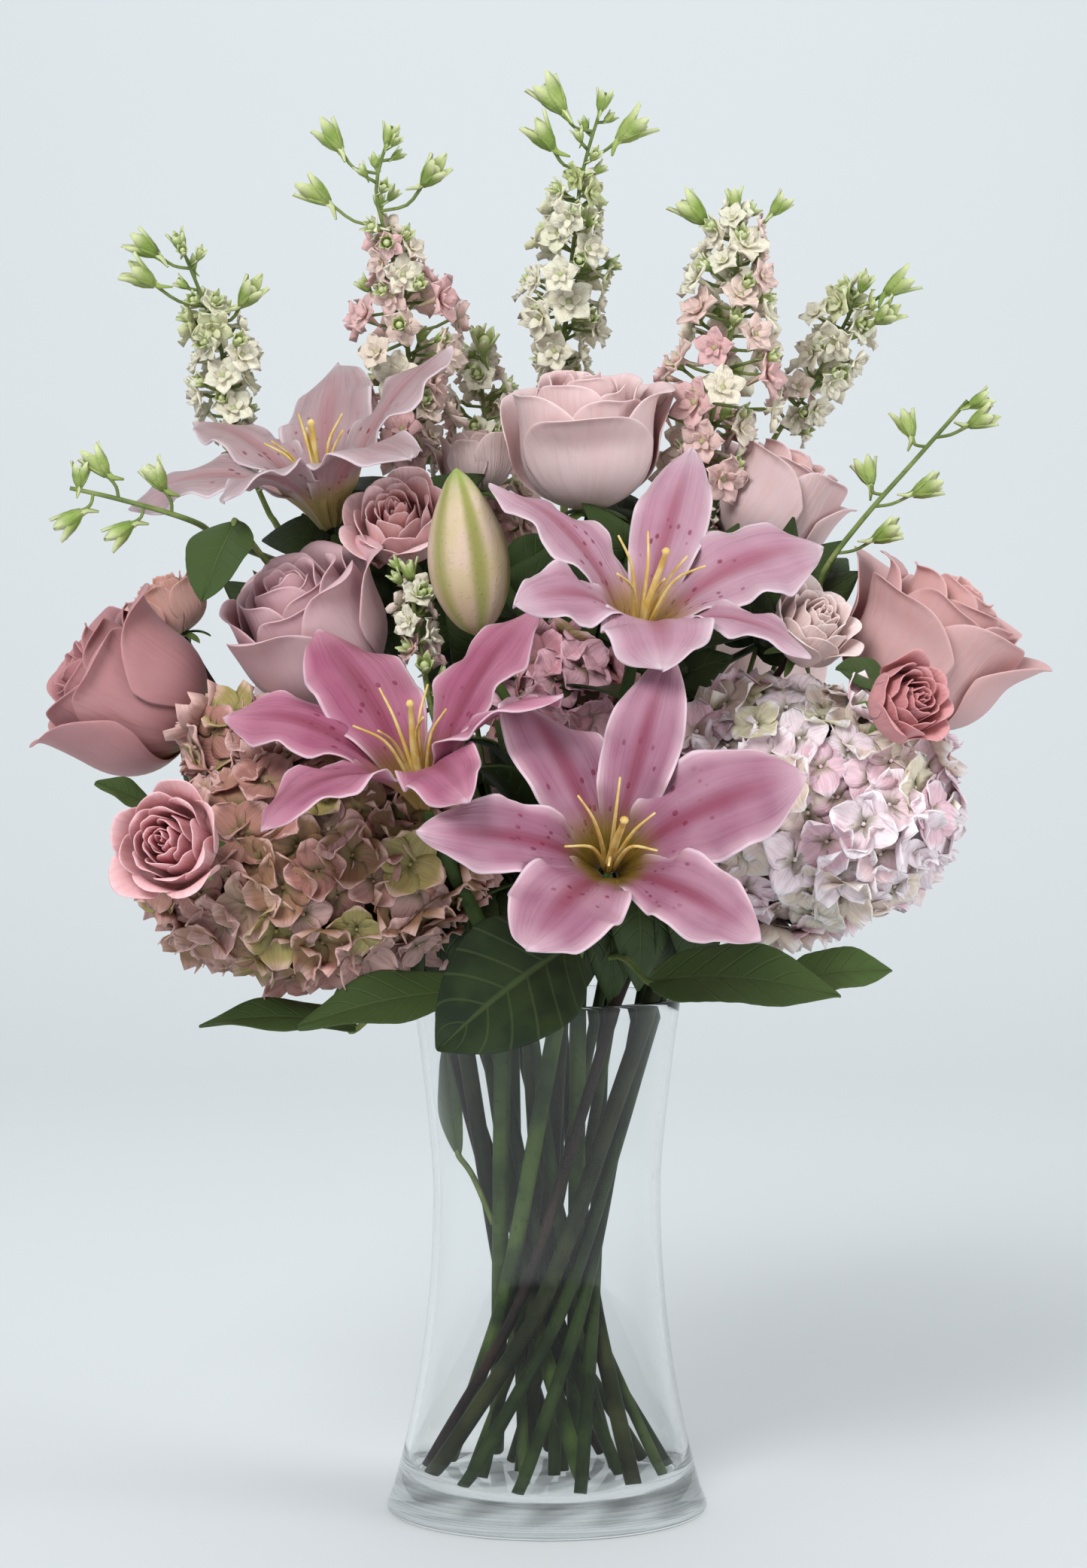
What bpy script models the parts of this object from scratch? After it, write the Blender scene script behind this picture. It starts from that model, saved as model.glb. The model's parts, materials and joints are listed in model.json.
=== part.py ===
"""Lilies in a clear glass vase: a hand-tied bouquet of pink lilies, roses, spray roses,
hydrangeas, larkspur and green leaves, standing in a waisted vase.

Metres, +Z up. The origin is the centre of the vase's foot, and the bouquet faces -Y.
"""

import math

import bmesh
import bpy
from mathutils import Matrix, Vector

# ---- the vase ----
VASE_HEIGHT = 0.224
FOOT_RADIUS = 0.070
WAIST_RADIUS = 0.0495
RIM_RADIUS = 0.0585
WAIST_HEIGHT = 0.143
WALL = 0.0032
FLOOR_THICKNESS = 0.012
FLOOR_FILLET = 0.011  # between the floor and the wall inside
FOOT_CHAMFER = 0.003
FOOT_CURVE = 2.2  # how soon the foot's flare straightens
RIM_CURVE = 1.3
VASE_SIDES = 32

# ---- the bouquet as a whole ----
BOUQUET_SCALE = 1.0  # the size and spread of all that stands above the rim
GAP = 0.0005  # between a stem and the head that it carries
CROSSING_HEIGHT = 0.092  # where the stems cross, above the foot
STEM_WAY = 0.0006  # around a stem that runs between a hydrangea's florets
STEM_SPACE = 0.0026  # free room between neighbouring stems where they cross
WALL_CLEARANCE = 0.0022  # between a stem and the glass

# ---- stem thicknesses ----
LILY_STEM = 0.0074
ROSE_STEM = 0.0060
HYDRANGEA_STEM = 0.0078
LARKSPUR_STEM = 0.0048
SPRAY_STEM = 0.0046
SHOOT_RADIUS = 0.0016
PEDICEL_RADIUS = 0.0009
BUD_STALK_RADIUS = 0.0021

# ---- flower sizes ----
TEPAL_LENGTH = 0.096
INNER_TEPAL_WIDTH = 0.036
OUTER_TEPAL_WIDTH = 0.028
TEPAL_THICKNESS = 0.0014
ROSE_RADIUS = 0.036
ROSE_HEIGHT = 0.060
SPRAY_RADIUS = 0.020
SPRAY_HEIGHT = 0.030
BUD_LENGTH = 0.071
BUD_RADIUS = 0.0175
LEAF_THICKNESS = 0.0011

# Each lily: its foot and facing, measured from the middle of the rim, the turn of its
# first tepal, and how far each tepal curls back, in degrees from the flower's axis.
LILIES = {
    "lily_front": {
        "foot": (0.025, -0.114, 0.060),
        "facing": (0.03, -0.89, 0.46),
        "turns": (16, 72, 118, 184, 240, 316),
        "curls": (102, 98, 144, 92, 72, 88),
    },
    "lily_left": {
        "foot": (-0.050, -0.093, 0.086),
        "facing": (-0.20, -0.43, 0.88),
        "turns": (-4, 60, 140, 184, 248, 312),
        "curls": (86, 82, 86, 102, 118, 110),
    },
    "lily_right": {
        "foot": (0.037, -0.056, 0.150),
        "facing": (0.18, -0.50, 0.85),
        "turns": (8, 62, 136, 206, 254, 304),
        "curls": (102, 78, 98, 104, 108, 110),
    },
    "lily_back_left": {
        "foot": (-0.094, 0.014, 0.203),
        "facing": (-0.24, -0.24, 0.94),
        "turns": (-12, 62, 122, 176, 226, 290),
        "curls": (116, 78, 84, 96, 122, 112),
    },
}

BUD_FOOT = (-0.029, -0.052, 0.156)
BUD_FACING = (-0.13, -0.04, 0.99)
BUD_STEM = "lily_right"  # the stem that the bud's stalk leaves

# Each rose: its foot, its facing, and its size against ROSE_RADIUS.
ROSES = {
    "rose_left": {"foot": (-0.154, -0.007, 0.113), "facing": (-0.80, -0.15, 0.50), "size": 1.04},
    "rose_centre_left": {"foot": (-0.089, -0.005, 0.133), "facing": (-0.42, -0.40, 0.80), "size": 1.0},
    "rose_top": {"foot": (0.018, 0.028, 0.213), "facing": (-0.05, -0.22, 0.97), "size": 1.0},
    "rose_right": {"foot": (0.149, 0.000, 0.122), "facing": (0.52, -0.10, 0.85), "size": 1.10},
    "rose_upper_right": {"foot": (0.088, 0.050, 0.192), "facing": (0.50, 0.0, 0.87), "size": 0.86},
    "rose_back_left": {"foot": (-0.082, 0.112, 0.126), "facing": (-0.50, 0.62, 0.60), "size": 0.98},
    "rose_back_right": {"foot": (0.080, 0.118, 0.112), "facing": (0.42, 0.70, 0.56), "size": 0.98},
}

# Each spray rose: its foot, its facing, and its size against SPRAY_RADIUS.
SPRAY_ROSES = {
    "spray_rose_lower_left": {
        "foot": (-0.147, -0.100, 0.068), "facing": (-0.30, -0.93, 0.20), "size": 1.10,
    },
    "spray_rose_upper_left": {"foot": (-0.161, 0.034, 0.157), "facing": (-0.40, -0.10, 0.90), "size": 0.90},
    "spray_rose_top_left": {"foot": (-0.060, 0.004, 0.195), "facing": (-0.15, -0.75, 0.62), "size": 1.0},
    "spray_rose_inner_right": {"foot": (0.105, -0.034, 0.150), "facing": (0.45, -0.62, 0.64), "size": 0.94},
    "spray_rose_outer_right": {"foot": (0.140, -0.080, 0.126), "facing": (0.55, -0.80, 0.22), "size": 0.88},
    "spray_rose_top_back": {"foot": (-0.030, 0.058, 0.220), "facing": (-0.10, 0.10, 0.98), "size": 0.92},
}

# Each hydrangea: the middle of its head, its three half-widths and its stem's arrival.
HYDRANGEAS = {
    "hydrangea_left": {
        "middle": (-0.098, -0.048, 0.056), "half": (0.078, 0.050, 0.058), "from": (0.60, 0.30, -0.74),
    },
    "hydrangea_right": {
        "middle": (0.104, -0.046, 0.080), "half": (0.076, 0.050, 0.060), "from": (-0.60, 0.30, -0.74),
    },
    "hydrangea_centre": {
        "middle": (0.006, -0.010, 0.130), "half": (0.032, 0.028, 0.030), "from": (0.0, 0.10, -0.99),
    },
    "hydrangea_back": {
        "middle": (0.000, 0.100, 0.060), "half": (0.074, 0.050, 0.050), "from": (0.0, -0.60, -0.80),
    },
}

# Each larkspur: the line of its spike from foot to tip, how wide its column of open
# flowers is along that line, and the side buds, each (share of the line, turn, reach, size).
LARKSPURS = {
    "larkspur_far_left": {
        "line": (
            (-0.128, 0.086, 0.216), (-0.143, 0.078, 0.254), (-0.146, 0.066, 0.284),
            (-0.154, 0.054, 0.308), (-0.164, 0.040, 0.334),
        ),
        "column": (0.003, 0.014, 0.018, 0.005, 0.0016),
        "buds": ((0.70, 190, 0.022, 0.0058), (0.86, 170, 0.014, 0.0056), (0.62, 350, 0.018, 0.0056)),
        "shoot": {
            "line": (
                (-0.141, 0.014, 0.198), (-0.149, -0.020, 0.204), (-0.163, -0.030, 0.209),
                (-0.185, -0.030, 0.215), (-0.203, -0.030, 0.219),
            ),
            "buds": ((0.45, 80, 0.010, 0.0050), (0.60, 270, 0.010, 0.0050), (0.72, 90, 0.010, 0.0052),
                     (0.86, 270, 0.010, 0.0052)),
        },
    },
    "larkspur_left": {
        "line": (
            (-0.060, 0.080, 0.226), (-0.061, 0.076, 0.256), (-0.063, 0.064, 0.292),
            (-0.068, 0.048, 0.322), (-0.075, 0.030, 0.352), (-0.068, 0.030, 0.380),
        ),
        "column": (0.003, 0.021, 0.026, 0.012, 0.0018, 0.0014),
        "buds": ((0.70, 160, 0.026, 0.0060), (0.74, 350, 0.026, 0.0056), (0.85, 175, 0.022, 0.0056)),
    },
    "larkspur_centre": {
        "line": (
            (0.007, 0.092, 0.236), (0.006, 0.086, 0.270), (0.009, 0.072, 0.302),
            (0.012, 0.054, 0.332), (0.016, 0.040, 0.362), (0.026, 0.040, 0.396),
        ),
        "column": (0.003, 0.014, 0.021, 0.019, 0.006, 0.0014),
        "buds": ((0.84, 15, 0.014, 0.0062), (0.80, 190, 0.018, 0.0060), (0.90, 180, 0.018, 0.0066)),
    },
    "larkspur_right": {
        "line": (
            (0.066, 0.040, 0.224), (0.074, 0.034, 0.258), (0.081, 0.030, 0.292),
            (0.084, 0.030, 0.324), (0.082, 0.030, 0.352),
        ),
        "column": (0.003, 0.021, 0.025, 0.017, 0.0030),
        "buds": ((0.84, 180, 0.016, 0.0060), (0.86, 0, 0.018, 0.0040)),
    },
    "larkspur_far_right": {
        "line": (
            (0.106, 0.098, 0.250), (0.120, 0.090, 0.270), (0.133, 0.078, 0.294),
            (0.144, 0.066, 0.318),
        ),
        "column": (0.003, 0.014, 0.016, 0.0030),
        "buds": ((0.82, 20, 0.014, 0.0056), (0.60, 320, 0.020, 0.0050)),
        "shoot": {
            "line": (
                (0.114, 0.024, 0.164), (0.120, 0.004, 0.184), (0.137, 0.000, 0.207),
                (0.160, 0.000, 0.233), (0.182, 0.000, 0.258),
            ),
            "buds": ((0.55, 350, 0.014, 0.0052), (0.60, 150, 0.012, 0.0050), (0.80, 160, 0.012, 0.0048),
                     (0.84, 330, 0.013, 0.0048), (0.34, 350, 0.014, 0.0050)),
        },
    },
    "larkspur_inner": {
        "line": (
            (-0.050, -0.028, 0.128), (-0.054, -0.034, 0.152), (-0.057, -0.036, 0.172),
            (-0.059, -0.037, 0.188),
        ),
        "column": (0.003, 0.010, 0.009, 0.0030),
        "buds": (),
    },
    "larkspur_back": {
        "line": (
            (-0.020, 0.100, 0.160), (-0.024, 0.104, 0.204), (-0.028, 0.106, 0.250),
            (-0.032, 0.106, 0.298),
        ),
        "column": (0.003, 0.019, 0.020, 0.0030),
        "buds": ((0.78, 100, 0.018, 0.0056), (0.86, 280, 0.014, 0.0052)),
    },
}

# Each leaf: foot, tip, the way its upper face looks, width, and how far its middle bows.
LEAVES = {
    "leaf_centre": {
        "foot": (0.012, -0.078, 0.026), "tip": (-0.045, -0.102, -0.014), "face": (0.0, -0.9, 0.4),
        "width": 0.060, "bow": 0.010,
    },
    "leaf_left": {
        "foot": (-0.032, -0.070, 0.008), "tip": (-0.103, -0.088, -0.006), "face": (-0.1, -0.7, 0.7),
        "width": 0.030, "bow": 0.006,
    },
    "leaf_far_left": {
        "foot": (-0.080, -0.054, -0.010), "tip": (-0.146, -0.062, -0.008), "face": (-0.1, -0.5, 0.85),
        "width": 0.024, "bow": 0.006,
    },
    "leaf_right": {
        "foot": (0.042, -0.075, 0.011), "tip": (0.121, -0.092, 0.007), "face": (0.1, -0.72, 0.68),
        "width": 0.036, "bow": 0.008,
    },
    "leaf_far_right": {
        "foot": (0.100, -0.064, 0.010), "tip": (0.144, -0.070, 0.016), "face": (0.2, -0.7, 0.68),
        "width": 0.026, "bow": 0.004,
    },
    "leaf_upper_left": {
        "foot": (-0.131, -0.036, 0.204), "tip": (-0.144, -0.062, 0.170), "face": (-0.3, -0.9, 0.2),
        "width": 0.030, "bow": 0.003,
    },
    "leaf_side_left": {
        "foot": (-0.168, -0.050, 0.084), "tip": (-0.190, -0.058, 0.094), "face": (-0.3, -0.6, 0.7),
        "width": 0.016, "bow": 0.002,
    },
    "leaf_inner_right": {
        "foot": (0.144, -0.050, 0.134), "tip": (0.120, -0.068, 0.142), "face": (0.0, -0.8, 0.6),
        "width": 0.020, "bow": 0.002,
    },
    "leaf_in_vase": {
        "foot": (-0.037, -0.016, -0.068), "tip": (-0.043, -0.015, -0.018), "face": (-0.5, -0.85, 0.0),
        "width": 0.011, "bow": 0.002,
    },
    "leaf_back_left": {
        "foot": (-0.040, 0.068, 0.008), "tip": (-0.098, 0.102, -0.010), "face": (-0.3, 0.6, 0.75),
        "width": 0.034, "bow": 0.006,
    },
    "leaf_back_right": {
        "foot": (0.040, 0.068, 0.008), "tip": (0.100, 0.098, -0.012), "face": (0.3, 0.6, 0.75),
        "width": 0.034, "bow": 0.006,
    },
}

# Where each stem stands in the bundle: its ring, and its turn at the rim in degrees.
OUTER_RING = {
    "lily_front": -84, "lily_left": -112, "hydrangea_left": -139, "spray_left": -163,
    "rose_left": 171, "rose_back_left": 138, "larkspur_back": 112, "hydrangea_back": 86,
    "rose_back_right": 58, "rose_upper_right": 30, "rose_right": 2, "hydrangea_right": -26,
    "spray_right": -54,
}
MIDDLE_RING = {
    "rose_centre_left": -150, "larkspur_inner": -105, "lily_right": -64, "larkspur_right": -15,
    "larkspur_far_right": 38, "larkspur_centre": 80, "larkspur_far_left": 120, "lily_back_left": 165,
}
INNER_RING = {"hydrangea_centre": -50, "rose_top": 60, "larkspur_left": 180}
RINGS = (  # the stems, their distance from the middle against the outer ring's, and the way they lean
    (OUTER_RING, 1.0, 1),
    (MIDDLE_RING, 0.61, -1),
    (INNER_RING, 0.20, 1),
)

COLOURS = {
    "glass": (0.86, 0.90, 0.91), "lily": (0.78, 0.42, 0.56), "rose": (0.80, 0.54, 0.55),
    "spray": (0.78, 0.40, 0.42), "hydrangea": (0.62, 0.46, 0.42), "larkspur": (0.72, 0.68, 0.50),
    "bud": (0.52, 0.50, 0.26), "leaf": (0.05, 0.10, 0.04), "stem": (0.09, 0.14, 0.05),
}


def clear_scene():
    for obj in list(bpy.data.objects):
        bpy.data.objects.remove(obj, do_unlink=True)


def material(name):
    found = bpy.data.materials.get(name)
    if found:
        return found
    made = bpy.data.materials.new(name)
    made.use_nodes = True
    shader = made.node_tree.nodes["Principled BSDF"]
    shader.inputs["Base Color"].default_value = (*COLOURS[name], 1.0)
    shader.inputs["Roughness"].default_value = 0.05 if name == "glass" else 0.55
    shader.inputs["Metallic"].default_value = 0.0
    shader.inputs["Transmission Weight"].default_value = 1.0 if name == "glass" else 0.0
    return made


def add_object(name, data, colour):
    obj = bpy.data.objects.new(name, data)
    obj.data.materials.append(material(colour))
    bpy.context.scene.collection.objects.link(obj)
    return obj


def mesh_of(bm, name):
    bmesh.ops.recalc_face_normals(bm, faces=bm.faces)
    mesh = bpy.data.meshes.new(name)
    bm.to_mesh(mesh)
    bm.free()
    return mesh


def from_rim(place):
    """A place measured from the middle of the rim, as a world point."""
    x, y, z = place
    return Vector((x * BOUQUET_SCALE, y * BOUQUET_SCALE, VASE_HEIGHT + z * BOUQUET_SCALE))


def stood_at(place, facing):
    """The matrix that stands local +Z along facing, with local +Y as near up as it goes."""
    aim = Vector(facing).to_track_quat("Z", "Y").to_matrix().to_4x4()
    return Matrix.Translation(place) @ aim @ Matrix.Scale(BOUQUET_SCALE, 4)


def smooth_line(points, steps):
    """Points read from a Catmull-Rom curve through the given points, ends included."""
    padded = [points[0] * 2 - points[1], *points, points[-1] * 2 - points[-2]]
    line = []
    for i in range(1, len(padded) - 2):
        a, b, c, d = padded[i - 1 : i + 3]
        for k in range(steps):
            t = k / steps
            curve = (c - a) * t + (2 * a - 5 * b + 4 * c - d) * t**2 + (3 * b - a - 3 * c + d) * t**3
            line.append(b + curve / 2)
    line.append(points[-1].copy())
    return line


def tube_curve(name, line, radii, sides_step=1):
    """A curve with a bevel and filled caps; sides_step 0, 1, 2 gives 4, 6 or 8 sides."""
    data = bpy.data.curves.new(name, "CURVE")
    data.dimensions = "3D"
    data.bevel_depth = 1.0
    data.bevel_resolution = sides_step
    data.use_fill_caps = True
    spline = data.splines.new("POLY")
    spline.points.add(len(line) - 1)
    for point, place, radius in zip(spline.points, line, radii):
        point.co = (*place, 1.0)
        point.radius = radius
    return data


def tube_mesh(name, line, radii, sides_step=1):
    """The same tube as a closed mesh, for a Boolean."""
    helper = bpy.data.objects.new(name, tube_curve(name, line, radii, sides_step))
    bpy.context.scene.collection.objects.link(helper)
    bpy.context.view_layer.update()
    mesh = bpy.data.meshes.new_from_object(helper)
    bpy.data.objects.remove(helper)
    bm = bmesh.new()
    bm.from_mesh(mesh)
    bmesh.ops.remove_doubles(bm, verts=bm.verts, dist=1e-6)
    return mesh_of(bm, name)


def grown_from(name, trunk, branches, colour):
    """One body: the trunk with every branch joined on by a Boolean union."""
    obj = add_object(name, trunk, colour)
    if not branches:
        return obj
    bm = bmesh.new()
    for branch in branches:
        bm.from_mesh(branch)
    helper = add_object(name + "_branches", mesh_of(bm, name + "_branches"), colour)
    helper.hide_render = True
    helper.display_type = "WIRE"
    join = obj.modifiers.new("grow", "BOOLEAN")
    join.operation = "UNION"
    join.solver = "EXACT"
    join.use_self = True
    join.object = helper
    return obj


# ---- the vase ----


def vase_outer_radius(height):
    if height < WAIST_HEIGHT:
        return WAIST_RADIUS + (FOOT_RADIUS - WAIST_RADIUS) * (1 - height / WAIST_HEIGHT) ** FOOT_CURVE
    rise = (height - WAIST_HEIGHT) / (VASE_HEIGHT - WAIST_HEIGHT)
    return WAIST_RADIUS + (RIM_RADIUS - WAIST_RADIUS) * rise**RIM_CURVE


def build_vase():
    lip = WALL / 2
    top = VASE_HEIGHT - lip
    shares = (1.0, 0.80, 0.62, 0.42, 0.26, 0.14)
    outside = [(vase_outer_radius(top * s), top * s) for s in shares]
    outside += [(FOOT_RADIUS, FOOT_CHAMFER), (FOOT_RADIUS - FOOT_CHAMFER, 0.0), (0.0, 0.0)]
    span = top - FLOOR_THICKNESS
    inner_heights = [FLOOR_THICKNESS + span * s for s in (0.14, 0.26, 0.40, 0.60, 0.80, 1.0)]
    inside = [(0.0, FLOOR_THICKNESS)]
    corner = FLOOR_THICKNESS + FLOOR_FILLET
    beside = vase_outer_radius(corner) - WALL
    for turn in (0, 30, 60, 90):
        angle = math.radians(turn)
        radius = beside - FLOOR_FILLET * (1 - math.sin(angle))
        inside.append((radius, corner - FLOOR_FILLET * math.cos(angle)))
    inside += [(vase_outer_radius(h) - WALL, h) for h in inner_heights]
    rim = [(RIM_RADIUS - lip, VASE_HEIGHT)]
    profile = outside + inside + rim
    bm = bmesh.new()
    verts = [bm.verts.new((r, 0.0, h)) for r, h in profile]
    for a, b in zip(verts, verts[1:] + verts[:1]):
        bm.edges.new((a, b))
    mesh = bpy.data.meshes.new("vase")
    bm.to_mesh(mesh)
    bm.free()
    vase = add_object("vase", mesh, "glass")
    turned = vase.modifiers.new("turned", "SCREW")
    turned.steps = turned.render_steps = VASE_SIDES
    turned.use_merge_vertices = True
    turned.merge_threshold = 0.00005
    turned.use_normal_calculate = True
    return vase


# ---- the stems ----

THICKNESS_OF = {
    "lily": LILY_STEM, "rose": ROSE_STEM, "hydrangea": HYDRANGEA_STEM,
    "larkspur": LARKSPUR_STEM, "spray": SPRAY_STEM,
}
THICKEST = max(THICKNESS_OF.values())


def stem_thickness(name):
    return THICKNESS_OF[name.split("_")[0]]


def crossing_radius():
    """How wide the outer ring is where the stems cross, so that its stems don't touch."""
    lean = 1.16  # a leaning stem takes this much more room around the ring
    around = sum(stem_thickness(name) * lean + STEM_SPACE for name in OUTER_RING)
    return around / (2 * math.pi)


def bundle_at(height):
    """(ring radius, turn in radians) of the bundle at a height: straight, leaning stems."""
    waist = crossing_radius()
    side = THICKEST / 2 + WALL_CLEARANCE
    low = FLOOR_THICKNESS + THICKEST / 2
    if height < CROSSING_HEIGHT:
        reach = vase_outer_radius(low) - WALL - side - 0.002
        share = (height - CROSSING_HEIGHT) / (CROSSING_HEIGHT - low)
    else:
        reach = RIM_RADIUS - WALL - side
        share = (height - CROSSING_HEIGHT) / (VASE_HEIGHT - CROSSING_HEIGHT)
    away = share * math.sqrt(reach**2 - waist**2)
    return math.hypot(waist, away), math.atan2(away, waist)


def in_vase(name, steps=7):
    """The stem's points from just over the floor to the rim."""
    for ring, share, lean in RINGS:
        if name in ring:
            part, turn, way = share, math.radians(ring[name]), lean
    at_rim = bundle_at(VASE_HEIGHT)[1]
    low = FLOOR_THICKNESS + stem_thickness(name) / 2 * 0.75 + 2 * GAP
    points = []
    for k in range(steps):
        height = low + (VASE_HEIGHT - low) * k / (steps - 1)
        radius, turned = bundle_at(height)
        angle = turn + way * (turned - at_rim)
        points.append(Vector((part * radius * math.cos(angle), part * radius * math.sin(angle), height)))
    return points


def above_rim(start, before, end, arrival, steps=5):
    """Points from the rim to the head, leaving along the stem and arriving along the head's axis."""
    leave = (start - before).normalized()
    reach = (end - start).length
    out, back = leave * reach * 0.9, arrival.normalized() * reach * 0.9
    points = []
    for k in range(1, steps + 1):
        t = k / steps
        points.append(
            start * (2 * t**3 - 3 * t**2 + 1) + out * (t**3 - 2 * t**2 + t)
            + end * (3 * t**2 - 2 * t**3) + back * (t**3 - t**2)
        )
    return points


def stem_line(name, end, arrival):
    low = in_vase(name)
    return low + above_rim(low[-1], low[-2], end, arrival)


def stem_radii(name, line, at_head):
    """Full thickness in the vase, thinning above the rim to at_head times it."""
    radius = stem_thickness(name) / 2
    rim = len(in_vase(name)) - 1
    last = len(line) - 1
    return [radius * (1 - (1 - at_head) * max(0, i - rim) / max(1, last - rim)) for i in range(len(line))]


stem_paths = {}  # every stem's line above the rim, for the florets that it passes between


def remember_stem(name, line, radii):
    rim = len(in_vase(name)) - 1
    stem_paths[name] = (line[rim:], radii[rim:])


def build_stem(name, foot, facing, at_head=0.75):
    arrival = Vector(facing)
    line = stem_line(name, foot - arrival.normalized() * GAP, arrival)
    radii = stem_radii(name, line, at_head)
    remember_stem(name, line, radii)
    if name == BUD_STEM:
        return grown_from("stem_" + name, tube_mesh(name, line, radii), [bud_stalk(name, line)], "stem")
    return add_object("stem_" + name, tube_curve(name, line, radii), "stem")


def bud_stalk(name, line):
    """The lily bud's own stalk, which leaves an open lily's stem over the rim."""
    over_rim = len(in_vase(name)) + 1
    facing = Vector(BUD_FACING).normalized()
    start = line[over_rim]
    stalk = [start] + above_rim(start, line[over_rim - 1], from_rim(BUD_FOOT) - facing * GAP, facing)
    radii = [BUD_STALK_RADIUS] * len(stalk)
    stem_paths[name + "_stalk"] = (stalk, radii)
    return tube_mesh(name + "_stalk", stalk, radii)


# ---- the flowers ----

FUSED_STATIONS = (0.0, 0.12, 0.24)
FREE_STATIONS = (0.40, 0.58, 0.76, 0.90)


def tepal_point(share, curl):
    """(distance from the axis, height along it) of a tepal's midrib, by summing small steps."""
    radius, height = 0.0035, 0.0
    steps = 40
    for k in range(round(share * steps)):
        lean = math.radians(24 + (curl - 24) * ((k + 0.5) / steps) ** 1.1)
        radius += math.sin(lean) * TEPAL_LENGTH / steps
        height += math.cos(lean) * TEPAL_LENGTH / steps
    return radius, height


def tepal_half_width(share, widest, fused):
    """Grows from the fused throat to its widest, then closes to the tip."""
    start = FUSED_STATIONS[-1]
    along = (share - start) / (1 - start)
    swell = math.sin(math.pi * min(1.0, 0.18 + 0.82 * along) ** 0.95) ** 0.8
    return max(fused * (1 - along) ** 2, widest / 2 * swell)


def build_lily(name, spec):
    turns = [math.radians(t) for t in spec["turns"]]
    curls = spec["curls"]
    count = len(turns)
    mean_curl = sum(curls) / count
    bm = bmesh.new()
    rings = []
    for share in FUSED_STATIONS:
        radius, height = tepal_point(share, mean_curl)
        ring = []
        for i, turn in enumerate(turns):
            following = turns[(i + 1) % count] + (2 * math.pi if i == count - 1 else 0)
            for angle in (turn, (turn + following) / 2):
                ring.append(bm.verts.new((radius * math.cos(angle), radius * math.sin(angle), height)))
        rings.append(ring)
    bm.faces.new(rings[0])
    around = 2 * count
    for lower, upper in zip(rings, rings[1:]):
        for i in range(around):
            j = (i + 1) % around
            bm.faces.new((lower[i], lower[j], upper[j], upper[i]))
    fused_radius = tepal_point(FUSED_STATIONS[-1], mean_curl)[0]
    fused = fused_radius * math.sin(math.pi / count)
    for i, (turn, curl) in enumerate(zip(turns, curls)):
        row = [rings[-1][(2 * i - 1) % around], rings[-1][2 * i], rings[-1][2 * i + 1]]
        out = Vector((math.cos(turn), math.sin(turn), 0))
        side = Vector((-math.sin(turn), math.cos(turn), 0))
        widest = OUTER_TEPAL_WIDTH if i % 2 else INNER_TEPAL_WIDTH
        for share in FREE_STATIONS:
            radius, height = tepal_point(share, curl)
            half = tepal_half_width(share, widest, fused)
            middle = out * radius + Vector((0, 0, height))
            cup = Vector((0, 0, half * 0.22))
            made = [bm.verts.new(middle + side * (half * t) + cup * abs(t)) for t in (-1, 0, 1)]
            for k in (0, 1):
                bm.faces.new((row[k], row[k + 1], made[k + 1], made[k]))
            row = made
        radius, height = tepal_point(1.0, curl)
        tip = bm.verts.new(out * radius + Vector((0, 0, height)))
        bm.faces.new((row[0], row[1], tip))
        bm.faces.new((row[1], row[2], tip))
    mesh = mesh_of(bm, name)
    foot = from_rim(spec["foot"])
    mesh.transform(stood_at(foot, spec["facing"]))
    lily = add_object(name, mesh, "lily")
    sheet = lily.modifiers.new("thickness", "SOLIDIFY")
    sheet.thickness = TEPAL_THICKNESS
    sheet.offset = 1.0
    return lily


ROSE_PROFILE = (
    (0.00, 0.20), (0.05, 0.44), (0.24, 0.82), (0.55, 0.95), (0.86, 0.97), (1.00, 1.00),
    (0.93, 0.74), (0.90, 0.50), (1.00, 0.26),
)


def build_rose(name, spec, radius, height, sides, colour):
    """A cupped head turned from its profile, with five lobes round its lip."""
    bm = bmesh.new()
    rings = []
    for up, out in ROSE_PROFILE:
        lobe = 0.05 * up
        ring = []
        for k in range(sides):
            angle = 2 * math.pi * k / sides
            reach = radius * out * (1 + lobe * math.cos(5 * angle))
            ring.append(bm.verts.new((reach * math.cos(angle), reach * math.sin(angle), height * up)))
        rings.append(ring)
    bm.faces.new(rings[0])
    for lower, upper in zip(rings, rings[1:]):
        for k in range(sides):
            j = (k + 1) % sides
            bm.faces.new((lower[k], lower[j], upper[j], upper[k]))
    bm.faces.new(rings[-1])
    mesh = mesh_of(bm, name)
    mesh.transform(stood_at(from_rim(spec["foot"]), spec["facing"]))
    return add_object(name, mesh, colour)


def build_bud():
    foot = from_rim(BUD_FOOT)
    shares = (0.0, 0.06, 0.25, 0.5, 0.75, 0.93, 1.0)
    widths = (0.22, 0.50, 0.92, 1.0, 0.80, 0.36, 0.10)
    aim = Vector(BUD_FACING).normalized()
    line = [foot + aim * BUD_LENGTH * BOUQUET_SCALE * share for share in shares]
    radii = [BUD_RADIUS * BOUQUET_SCALE * width for width in widths]
    return add_object("lily_bud", tube_curve("lily_bud", line, radii, 2), "bud")


HEAD_LUMP = 1.05  # how far a head's lumps stand out, against its half-widths


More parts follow.
